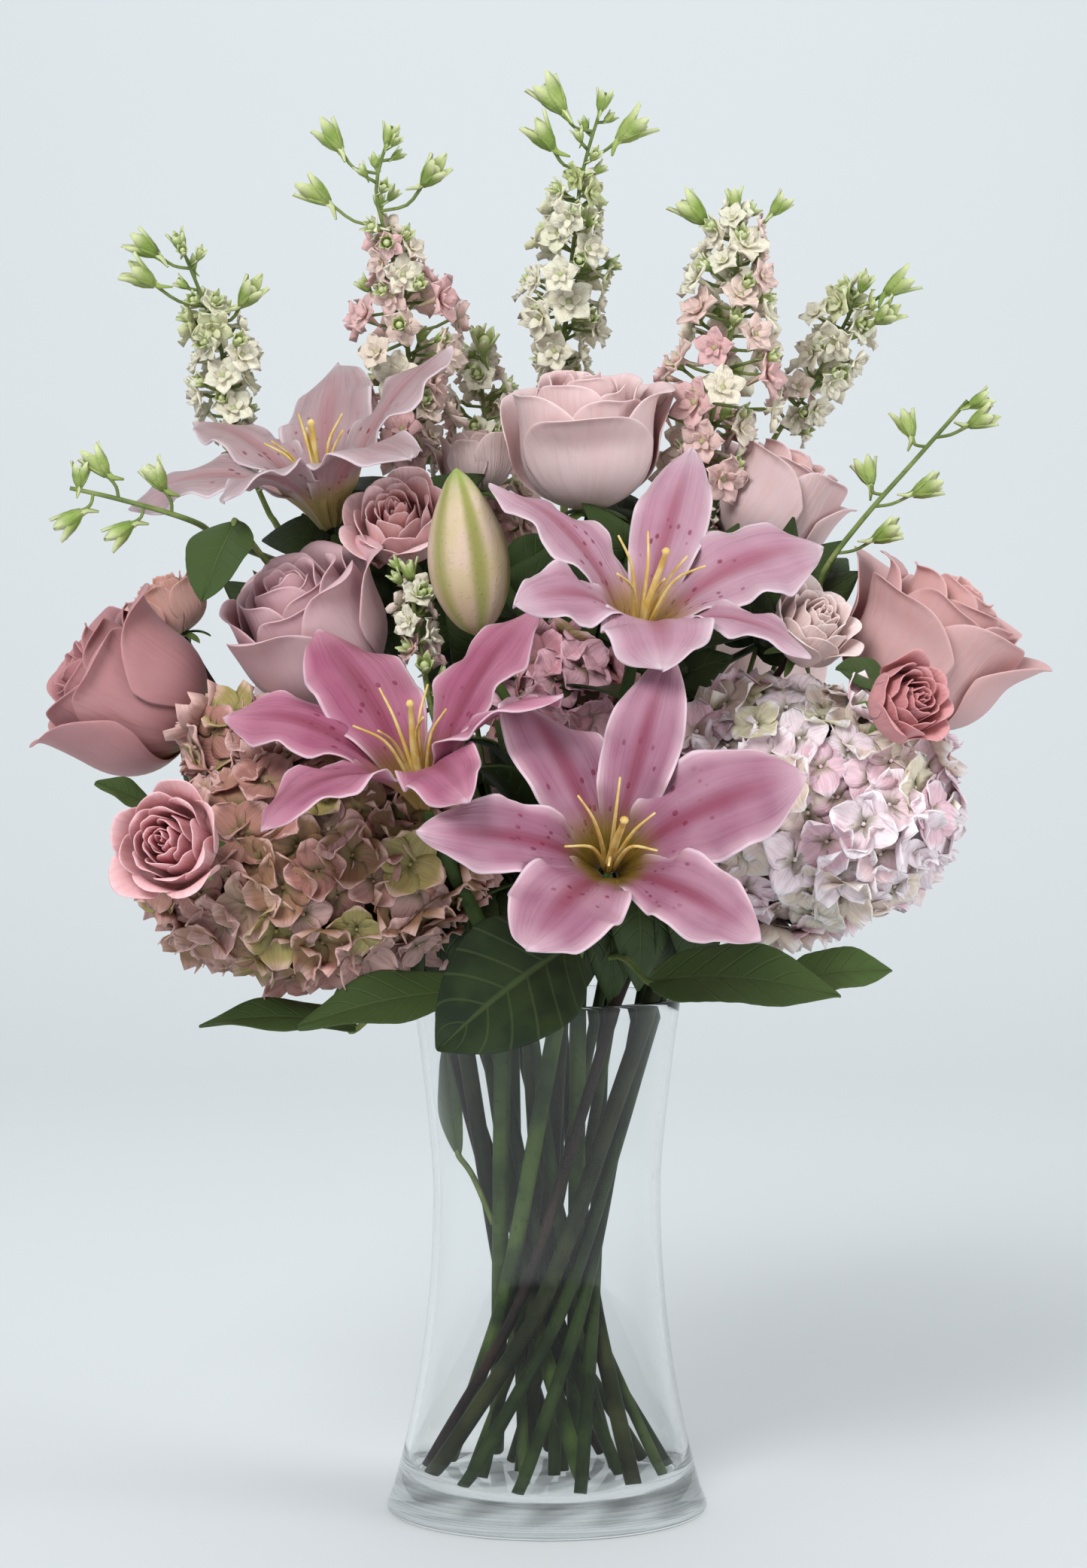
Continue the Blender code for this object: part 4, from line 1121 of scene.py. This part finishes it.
def makeLarkspurMaterial():
    material, tree, sockets = newMaterial("larkspurPetal", 0.55, glow=0.15)
    side, along = sheetCoordinates(tree)[1:]
    tone = markOf(tree, "tone")
    veins = useGroup(tree, veinGroup, Across=side, Along=along, Streaks=8.0, Seed=times(tree, tone, 11.0))
    pink, white, green = larkspurShape["petalColours"]
    colour = layered(
        tree,
        pink,
        (ease(tree, tone, 0.10, 0.45), white),
        (ease(tree, tone, 0.62, 0.95), green),
        (times(tree, veins["Veins"], 0.20), larkspurShape["veinColour"]),
        (ease(tree, along, 0.0, 0.40, 0.7, 0.0), larkspurShape["footColour"]),
    )
    feed(tree, sockets["Base Color"], colour)
    bumpFrom(tree, sockets, veins["Veins"], 0.0003, 0.4)
    return material


def makeBudGreen():
    # green at the foot of each bud petal, and paler towards its tip
    material, tree, sockets = newMaterial("budGreen", 0.5, glow=0.1)
    mottle = useGroup(tree, mottleGroup, Size=90.0)
    dark, light, tip = larkspurShape["budColours"]
    paler = ease(tree, sheetCoordinates(tree)[2], 0.45, 0.95, 0.0, 0.85)
    feed(tree, sockets["Base Color"], layered(tree, dark, (mottle["Blotches"], light), (paler, tip)))
    bumpFrom(tree, sockets, mottle["Specks"], 0.0003)
    return material


def makeLarkspurFloret():
    petals = []
    # for each ring of petals: how many, their reach, how steeply they rise and their first turn
    for count, reach, lift, first in ((5, 1.0, 0.16, 0), (4, 0.45, 0.80, 0.5)):
        size = larkspurShape["floret"] * reach
        for k in range(count):
            out, side = around(2 * math.pi * (k + first) / count)

            def surface(u, v):
                half = size * 0.40 * math.sin(math.pi * (0.07 + 0.88 * v)) ** 0.8
                wave = 0.10 * math.sin(5 * v + 1.7 * k + 2 * u) * v
                rise = size * (lift * v**1.4 + 0.16 * u * u * v + wave)
                return out * size * (0.04 + 0.92 * v * (1 - 0.10 * u * u)) + side * half * u + up * rise

            petals.append(makeSheet("petal", 2, 4, surface, tone=0.0))
    floret = thicken(petals, "larkspurFloret", larkspurShape["thickness"], smoothing=0)
    line = [Vector(place) for place in ((0, 0, 0.001), (0.001, 0, -0.004), (0.004, 0, -0.010))]
    spur = addTubes("spur", [(line, [0.0022, 0.0014, 0.0006])], 0)
    markPiece(spur, tone=0.0)
    return joinPieces([floret, spur], "larkspurFloret")


def makeBud():
    # a bud just parting: five pointed petals round an egg, with the spur behind
    deselectAll()
    bpy.ops.mesh.primitive_uv_sphere_add(segments=8, ring_count=6, radius=1)
    egg = bpy.context.object
    for vertex in egg.data.vertices:
        vertex.co = Vector((vertex.co.x * 0.66, vertex.co.y * 0.66, 1.15 + 1.05 * vertex.co.z))
    parts = []
    for k in range(5):
        out, side = around(2 * math.pi * k / 5)

        def surface(u, v):
            half = 0.60 * math.sin(math.pi * (0.12 + 0.84 * v)) ** 0.8
            reach = 0.30 + 0.62 * math.sin(0.62 * math.pi * v) + (0.30 + 0.16 * (k % 2)) * v**4
            return out * (reach - 0.22 * u * u) + side * (half * u) + up * (0.1 + (2.5 + 0.3 * (k % 2)) * v)

        parts.append(makeSheet("budPetal", 2, 4, surface))
    petals = thicken(parts, "bud", 0.10, smoothing=0)
    line = [Vector(place) for place in ((0, 0, 0.5), (-0.2, 0, -0.3), (-0.9, 0, -1.0))]
    bud = joinPieces([egg, petals, addTubes("spur", [(line, [0.42, 0.26, 0.10])], 0)], "bud")
    bpy.ops.object.shade_smooth()
    markPiece(bud, tone=0.9)
    return bud


def between(values, share):
    # the value at a share of the way through a list, and the step there
    at = share * (len(values) - 1)
    i = min(int(at), len(values) - 2)
    step = values[i + 1] - values[i]
    return values[i] + step * (at - i), step


def budPlace(line, share, turn, reach, size):
    start, step = between(line, share)
    along = step.normalized()
    out = around(math.radians(turn))[0]
    if abs(along.z) <= 0.6:
        out = Vector((out.x, 0, out.y))
    end = start + (out + along * 0.55) * reach * 0.85
    aim = (out * 0.7 + along * 0.7).normalized()
    return [start, start + (out + along * 0.22) * reach * 0.5, end, end + aim * size * 0.6], aim


def stemAt(node, height, near):
    # the middle of the CAD stem where it crosses a height, taken where it passes closest to a place
    mesh = cadNodes[node].data
    crossings = []
    for edge in mesh.edges:
        low, high = (mesh.vertices[i].co for i in edge.vertices)
        if (low.z - height) * (high.z - height) < 0:
            crossings.append(low.lerp(high, (height - low.z) / (high.z - low.z)))
    closest = min(crossings, key=lambda point: (point - near).length)
    ring = [point for point in crossings if (point - closest).length < 0.007]
    return sum(ring, Vector()) / len(ring)


def addLarkspur(node, look, floret, bud):
    shape, pink = larkspurShape, look["pink"]
    draw = random.Random(node)
    points = [fromRim(point) for point in look["line"]]
    line = smoothLine(points, 4)
    # the stem goes down through the CAD stem to its cut
    joints = [points[0] - up * 0.010]
    for k in range(1, 5):
        height = points[0].z - look.get("cut", shape["cut"]) * k / 4
        joints.append(stemAt(node, height, Vector((joints[-1].x * 0.96, joints[-1].y * 0.96, height))))
    joint = joints[-1]
    whole = smoothLine([joint - up * 0.004, *joints[:0:-1], *points], 4)
    tubes = [tapered(whole, shape["stem"] * 1.1, shape["stem"] * 0.35)]
    flowers, buds = [], []

    def addPedicel(*route):
        tubes.append(tapered(route, shape["pedicel"], shape["pedicel"]))

    def addBudAt(spot, aim, size, tone, *route, spin=0.0):
        buds.append(addCopy(bud, placed(spot, aim, size, spin), tone=tone))
        if route:
            addPedicel(*route)

    length = sum((b - a).length for a, b in zip(line, line[1:]))
    count = round(length * 0.86 / shape["spacing"] * (1.0 + shape["fullness"] * max(look["column"])))
    for k in range(count):
        share = 0.04 + 0.90 * k / count
        place, step = between(line, share)
        along = step.normalized()
        wide = between(look["column"], share)[0]
        out = around(goldenTurn * k + draw.uniform(-0.3, 0.3))[0]
        out = (out - along * out.dot(along)).normalized()
        if wide < shape["bare"]:
            if k % 2 == 0:
                size = shape["bareBud"] * (1.15 - 0.5 * share)
                spot, aim = place + out * 0.0045 + along * 0.002, (out + along * 1.1).normalized()
                addBudAt(spot, aim, size, 0.85 + 0.1 * draw.random(), place, spot)
            continue
        size = min(0.95, 0.50 + wide * 20) * draw.uniform(0.75, 1.15)
        reach = max(0.003, wide - shape["floret"] * 0.30) * draw.uniform(0.55, 1.15)
        spot = place + out * reach + along * 0.003
        facing = (out + along * draw.uniform(-0.2, 0.8)).normalized()
        spin = draw.uniform(0, 6.28)
        tone = 0.42 * (1 - pink) + share * (0.66 - 0.30 * pink) + draw.uniform(-0.2, 0.2)
        flowers.append(addCopy(floret, placed(spot, facing, size, spin), tone=min(1.0, max(0.0, tone))))
        addPedicel(place, place + out * reach * 0.6 + along * 0.001, spot - facing * 0.002)
        if k % 2 == 0:
            lean = Vector((draw.uniform(-1, 1), draw.uniform(-1, 1), 0)) * 0.5
            twin = (out + along * 0.6 + lean).normalized()
            spot = place + twin * reach * draw.uniform(0.7, 1.0)
            addBudAt(spot, twin, shape["twinBud"], 0.8, place, spot)
    sideBuds = [(line, *spec) for spec in look["buds"]]
    if "shoot" in look:
        corners = [fromRim(point) for point in look["shoot"]]
        shoot = smoothLine([joint] + corners, 5)
        tubes.append(tapered(shoot, *shape["shoot"]))
        sideBuds += [(smoothLine(corners, 2), *spec) for spec in look["shootBuds"]]
        sideBuds.append((shoot, 0.97, 0, 0.003, shape["endBud"]))
    for path, share, turn, reach, size in sideBuds:
        corners, aim = budPlace(path, share, turn, reach, size)
        addBudAt(corners[2], aim, size, 0.9, *smoothLine(corners, 3), spin=math.radians(turn * 3))
    tip, step = between(line, 1.0)
    addBudAt(tip - step.normalized() * 0.009, step, shape["tipBud"], 0.95)
    finishPiece(joinPieces(flowers, node + "_florets"), larkspurMaterial, "larkspur", node)
    finishPiece(joinPieces(buds, node + "_buds"), budGreen, "larkspur")
    finishPiece(addTubes(node + "_stalk", tubes, 1), plainMaterials["stalkGreen"], "stem")


larkspurMaterial = makeLarkspurMaterial()
budGreen = makeBudGreen()
larkspurFloret = makeLarkspurFloret()
smallBud = makeBud()
for node, look in larkspurs.items():
    addLarkspur(node, look, larkspurFloret, smallBud)
discard(larkspurFloret)
discard(smallBud)
print("larkspur spikes are in flower")

leafShape = {
    "across": 10,
    "along": 26,
    "thickness": 0.0009,
    "teeth": 15,
    "vein": 0.0007,
    "sideVeins": 7,
    "stalk": 0.0013,
    "highLeaf": 0.04,  # a leaf whose foot is this far over the rim has a short stalk behind it
    "darkest": (0.012, 0.020, 0.009),
    "lightest": (0.070, 0.115, 0.032),
    "blotchColour": (0.045, 0.070, 0.022),
    "veinColour": (0.10, 0.14, 0.05),
}

# the way the upper face looks, the way from foot to tip, how toothed and wavy the edge is, and how light it
# is painted: partly the leaf's own tone and partly painted shade, darkest on the centre leaf that hangs in
# shadow
leaves = {
    "leaf_centre": ((0.0, -0.9, 0.4), (-1, 0, -1), 0.0, 0.0022, 0.0),
    "leaf_left": ((-0.1, -0.7, 0.7), (-1, 0, 0), 0.05, 0.0018, 0.5),
    "leaf_far_left": ((-0.1, -0.5, 0.85), (-1, 0, 0), 0.05, 0.0015, 0.5),
    "leaf_right": ((0.1, -0.72, 0.68), (1, 0, 0), 0.07, 0.0018, 0.75),
    "leaf_far_right": ((0.2, -0.7, 0.68), (1, 0, 0), 0.06, 0.0015, 0.9),
    "leaf_upper_left": ((-0.3, -0.9, 0.2), (0, 0, -1), 0.03, 0.0012, 0.6),
    "leaf_side_left": ((-0.3, -0.6, 0.7), (-1, 0, 0), 0.0, 0.0008, 0.7),
    "leaf_inner_right": ((0.0, -0.8, 0.6), (-1, 0, 0), 0.0, 0.0010, 0.6),
    "leaf_in_vase": ((-0.5, -0.85, 0.0), (0, 0, 1), 0.0, 0.0005, 1.0),
    "leaf_back_left": ((-0.3, 0.6, 0.75), (-1, 0, 0), 0.05, 0.0018, 0.3),
    "leaf_back_right": ((0.3, 0.6, 0.75), (1, 0, 0), 0.05, 0.0018, 0.5),
}


def makeLeafMaterial():
    material, tree, sockets = newMaterial("leafGreen", 0.50, shine=0.30)
    across, side, along = sheetCoordinates(tree)
    tone = markOf(tree, "tone")
    mottle = useGroup(tree, mottleGroup, Size=55.0, Seed=tone)
    # side veins run forward from the middle, a pale line for each
    slope = calculate(tree, "MULTIPLY_ADD", across, -0.22, along)
    saw = calculate(tree, "FRACT", times(tree, slope, float(leafShape["sideVeins"])))
    away = calculate(tree, "ABSOLUTE", calculate(tree, "SUBTRACT", saw, 0.5))
    side, middle = ease(tree, away, 0.02, 0.09, 0.7, 0.0), ease(tree, across, 0.02, 0.07, 1.0, 0.0)
    vein = calculate(tree, "MAXIMUM", side, middle)
    # the tone mark lifts a leaf from darkest to lightest green: random on the filler leaves, and partly
    # painted shade on the listed leaves
    colour = layered(
        tree,
        leafShape["darkest"],
        (tone, leafShape["lightest"]),
        (times(tree, mottle["Blotches"], 0.30), leafShape["blotchColour"]),
        (times(tree, vein, 0.26), leafShape["veinColour"]),
    )
    feed(tree, sockets["Base Color"], colour)
    relief = calculate(tree, "MULTIPLY_ADD", mottle["Specks"], 0.3, times(tree, vein, -2.0))
    bumpFrom(tree, sockets, relief, 0.0004)
    return material


def measureLeaf(node, face, towards):
    # foot, length, the ways across and up, width and bow of the CAD leaf
    points = cadPoints(node)
    ends = max(((a, b) for a in points for b in points), key=lambda pair: (pair[1] - pair[0]).length)
    foot, tip = ends if (ends[1] - ends[0]).dot(Vector(towards)) > 0 else ends[::-1]
    along = tip - foot
    side = along.cross(Vector(face)).normalized()
    rise = side.cross(along).normalized()
    spans = [(point - foot).dot(side) for point in points]
    width = max(spans) - min(spans)
    near = [p for p in points if 0.35 < (p - foot).dot(along) / along.length_squared < 0.7]
    middles = [(p - foot).dot(rise) for p in near if abs((p - foot).dot(side)) < 0.15 * width]
    return foot, along, side, rise, width, sum(middles) / len(middles) if middles else 0.0


def addLeaf(node, face, towards, toothed, wavy, tone):
    foot, along, side, rise, width, bow = measureLeaf(node, face, towards)
    relief = leafShape["vein"]
    seed = len(node) * 1.37

    def surface(u, v):
        half = width / 2 * max(0.04, math.sin(math.pi * v**0.8) ** 0.75)
        tooth = 1 + toothed * ((v * leafShape["teeth"]) % 1.0 - 0.5) * abs(u) ** 3
        middle = foot + along * v + rise * (4 * bow * v * (1 - v))
        fold = 0.16 * half * abs(u) - relief * math.exp(-((u / 0.10) ** 2))
        ripple = ((v - 0.22 * abs(u)) * leafShape["sideVeins"]) % 1.0
        fold += relief * 0.6 * math.sin(math.pi * ripple) * min(1.0, abs(u) * 3) * (1 - abs(u) ** 4)
        wave = wavy * abs(u) ** 2 * math.sin(11 * v + seed + (1.9 if u > 0 else 0))
        return middle + side * (u * half * tooth) + rise * (fold + wave)

    sheet = makeSheet(node, leafShape["across"], leafShape["along"], surface, tone=tone)
    finishPiece(thicken([sheet], node + "_blade", leafShape["thickness"]), leafMaterial, "leaf", node)
    # the stalk runs back to the bundle: inside the vase, behind the flowers, or over the rim
    if node == "leaf_in_vase":
        inner = Vector((foot.x * 0.62, foot.y * 0.62, foot.z - 0.030))
        bend = foot.lerp(inner, 0.4) + up * 0.003
    elif foot.z > rimHeight + leafShape["highLeaf"]:
        inner = foot + Vector((-foot.x * 0.15, 0.050, -0.030))
        bend = foot.lerp(inner, 0.4)
    else:
        inner = Vector((foot.x * 0.35, foot.y * 0.35, rimHeight + 0.012))
        bend = Vector((foot.x * 0.72, foot.y * 0.72, max(foot.z, rimHeight) + 0.009))
    route = smoothLine([inner, bend, foot, foot + along * 0.06], 5)
    stalk = addTubes(node + "_stalk", [tapered(route, leafShape["stalk"], leafShape["stalk"])], 1)
    finishPiece(stalk, plainMaterials["stalkGreen"], "stem")


# shaded leaves that close the gaps between the stems: some low down, a curtain of them over the
# front of the rim, and sprigs of smaller ones tucked behind the blooms
fillers = {
    "count": 46,
    "curtain": 11,
    "length": 0.050,
    "width": 0.026,
    "thickness": 0.0008,
    "low": 0.006,
    "high": 0.165,
    "seed": 3,
    "sprigTurns": (195, 230, 265, 300, 335, 20, 80, 140),
    "sprigLength": 0.038,
    "sprigSize": 0.85,
    "sprigStalk": 0.0012,
    "tucked": (
        (0.050, 0.042, 0.190), (0.030, 0.034, 0.178), (0.062, 0.026, 0.164), (0.076, 0.040, 0.160),
        (0.092, 0.016, 0.152), (0.108, 0.030, 0.166), (0.012, 0.030, 0.156), (0.002, 0.022, 0.136),
        (-0.018, 0.030, 0.170), (-0.034, 0.024, 0.142), (-0.046, 0.020, 0.166), (-0.060, 0.034, 0.188),
        (-0.076, 0.030, 0.158), (-0.092, 0.040, 0.180), (-0.108, 0.028, 0.150), (0.050, 0.010, 0.140),
    ),
}


def addBlade(foot, along, face, size, draw):
    # one narrow leaf with a keel and a drooping tip
    side = along.cross(face).normalized()
    rise = side.cross(along).normalized()

    def surface(u, v):
        half = size * fillers["width"] / 2 * max(0.05, math.sin(math.pi * v**0.8) ** 0.8)
        sag = rise * (0.010 * math.sin(math.pi * v) - 0.012 * v * v + 0.14 * half * abs(u))
        return foot + along * v + side * (u * half) + sag

    return makeSheet("filler", 4, 12, surface, tone=0.15 + 0.4 * draw.random())


def addLowBlade(k, draw):
    first = fillers["count"] - fillers["curtain"]
    out = around(math.radians(137.5 * k))[0]
    height = fillers["low"] + (fillers["high"] - fillers["low"]) * k / (fillers["count"] - 1)
    foot = fromRim((0, 0, height)) + out * 0.012
    along = (out + up * draw.uniform(-0.1, 0.7)).normalized() * fillers["length"] * draw.uniform(0.8, 1.2)
    if k >= first:  # one of the curtain
        step = (k - first) / (fillers["curtain"] - 1)
        foot = fromRim((-0.052 + 0.110 * step, -0.032 - 0.010 * draw.random(), 0.052))
        along = Vector((0.3 * (step - 0.5), -0.35, -0.9)).normalized()
        along *= fillers["length"] * draw.uniform(0.85, 1.05)
        out = Vector((0, -1, 0))
    return addBlade(foot, along, up + out * draw.uniform(-0.4, 0.4), 1.0, draw)


def addSprigBlade(foot, turn, draw):
    out = around(math.radians(turn))[0]
    out = Vector((out.x, 0.5 * out.y, 0)).normalized()
    along = (out + up * draw.uniform(0.2, 1.3)).normalized() * fillers["sprigLength"] * draw.uniform(0.8, 1.2)
    face = Vector((draw.uniform(-0.4, 0.4), -1, draw.uniform(0.0, 0.6)))
    return addBlade(foot + up * draw.uniform(-0.008, 0.014), along, face, fillers["sprigSize"], draw)


def addFillers():
    draw = random.Random(fillers["seed"])
    blades, tubes = [addLowBlade(k, draw) for k in range(fillers["count"])], []
    for place in fillers["tucked"]:
        foot = fromRim(place)
        low = fromRim((place[0] * 0.18, place[1] * 0.18, 0.030))
        middle = foot.lerp(low, 0.5) + Vector((place[0], place[1], 0)) * 0.15
        route = smoothLine([low, middle, foot, foot + up * 0.016], 4)
        tubes.append(tapered(route, fillers["sprigStalk"], fillers["sprigStalk"]))
        blades += [addSprigBlade(foot, turn, draw) for turn in fillers["sprigTurns"]]
    leavesBehind = thicken(blades, "filler_leaves", fillers["thickness"], smoothing=0)
    finishPiece(leavesBehind, leafMaterial, "leaf")
    finishPiece(addTubes("filler_stalks", tubes, 1), plainMaterials["stalkGreen"], "stem")


leafMaterial = makeLeafMaterial()
for node, look in leaves.items():
    addLeaf(node, *look)
addFillers()
print("leaves are spread")

stemShape = {"fuller": 0.0004, "smoothing": 2}


def creaseCut(stem):
    # keeps the stem's cut end flat and sharp under the smoothing
    shape = bmesh.new()
    shape.from_mesh(stem.data)
    crease = shape.edges.layers.float.new("crease_edge")
    lowest = min(vertex.co.z for vertex in shape.verts)
    low = [face for face in shape.faces if face.calc_center_median().z < lowest + 0.004]
    cut = {face for face in low if face.normal.z < -0.6}
    for edge in shape.edges:
        if len(cut.intersection(edge.link_faces)) == 1:
            edge[crease] = 1.0
    shape.to_mesh(stem.data)
    shape.free()


def addStem(node, family, cut=None):
    # the CAD tube made round; a larkspur's is cut off below its spike
    stem = copyOfCad(node, node + "_round" if node.startswith("stem") else node + "_stem")
    mergeMesh(stem)
    if cut:
        bpy.ops.object.mode_set(mode="EDIT")
        bpy.ops.mesh.select_all(action="SELECT")
        bpy.ops.mesh.bisect(plane_co=up * cut, plane_no=up, clear_outer=True, use_fill=True)
        bpy.ops.object.mode_set(mode="OBJECT")
    creaseCut(stem)
    fuller = stem.modifiers.new("fuller", "DISPLACE")
    fuller.strength = stemShape["fuller"]
    fuller.mid_level = 0.0
    smoothAndApply(stem, stemShape["smoothing"])
    finishPiece(stem, plainMaterials[family + "Stem"], "stem", node)


for node in sorted(cadNodes):
    if node.startswith("stem_"):
        addStem(node, node.split("_")[1])
for node, look in larkspurs.items():
    addStem(node, "larkspur", rimHeight + look["line"][0][2] - look.get("cut", larkspurShape["cut"]))
print("stems are round")

vaseShape = {
    "waistHeight": 0.143,
    "waist": 0.0495,
    "footCurve": 2.2,
    "rimCurve": 1.3,
    "wall": 0.0032,
    "floor": 0.012,
    "fillet": 0.011,
    "chamfer": 0.003,
    "steps": 128,
    "rings": 40,
    "sharpEdge": 40,
    "glassColour": (0.975, 0.985, 0.98),
    "bending": 1.35,
}


def ringWidth(height):
    # the CAD vase's outer radius nearest to a height
    corners = cadPoints("vase")
    nearest = min(abs(corner.z - height) for corner in corners) + 0.0001
    return max(math.hypot(corner.x, corner.y) for corner in corners if abs(corner.z - height) < nearest)


def arc(middle, height, radius, turns):
    turns = [math.radians(turn) for turn in turns]
    return [(middle + radius * math.cos(turn), height + radius * math.sin(turn)) for turn in turns]


def vaseProfile():
    # from the middle of the foot out, up the outside, over the lip, down the inside and in along the floor
    foot = max(math.hypot(corner.x, corner.y) for corner in cadPoints("vase"))
    wall, floor, fillet, chamfer = (vaseShape[part] for part in ("wall", "floor", "fillet", "chamfer"))
    waistHeight, waist, rings = (vaseShape[part] for part in ("waistHeight", "waist", "rings"))
    lip = wall / 2
    top = rimHeight - lip
    rim = ringWidth(top)

    def outer(height):
        if height < waistHeight:
            return waist + (foot - waist) * (1 - height / waistHeight) ** vaseShape["footCurve"]
        rise = (height - waistHeight) / (rimHeight - waistHeight)
        return waist + (rim - waist) * rise ** vaseShape["rimCurve"]

    low, start = chamfer * 1.6, floor + fillet
    beside = outer(start) - wall
    points = [(0.0, 0.0), (foot - chamfer * 2, 0.0)]
    points += arc(foot - chamfer, chamfer, chamfer, range(-90, 1, 15))
    points += [(outer(h), h) for h in (low + (top - low) * k / rings for k in range(1, rings + 1))]
    points += arc(outer(top) - lip, top, lip, range(30, 151, 30))
    points += [(outer(h) - wall, h) for h in (top + (start - top) * k / rings for k in range(rings + 1))]
    points += arc(beside - fillet, start, fillet, range(-15, -91, -15))
    return points + [(beside * 0.5, floor), (0.0, floor)]


def makeGlass():
    material, _, sockets = newMaterial("clearGlass", 0.0)
    sockets["Base Color"].default_value = (*vaseShape["glassColour"], 1)
    sockets["Transmission Weight"].default_value = 1.0
    sockets["IOR"].default_value = vaseShape["bending"]
    return material


def addVase():
    points = vaseProfile()
    mesh = bpy.data.meshes.new("vase_glass")
    mesh.from_pydata([(r, 0, h) for r, h in points], [(i, i + 1) for i in range(len(points) - 1)], [])
    vase = bpy.data.objects.new("vase_glass", mesh)
    bpy.context.scene.collection.objects.link(vase)
    makeActive(vase)
    bpy.ops.object.mode_set(mode="EDIT")
    bpy.ops.mesh.select_all(action="SELECT")
    bpy.ops.mesh.spin(steps=vaseShape["steps"], angle=2 * math.pi, center=(0, 0, 0), axis=(0, 0, 1))
    bpy.ops.object.mode_set(mode="OBJECT")
    mergeMesh(vase, 0.00002)
    bpy.ops.object.shade_smooth_by_angle(angle=math.radians(vaseShape["sharpEdge"]))
    vase.visible_shadow = False
    finishPiece(vase, makeGlass(), "glass", "vase")


addVase()
print("the vase is blown")

deselectAll()
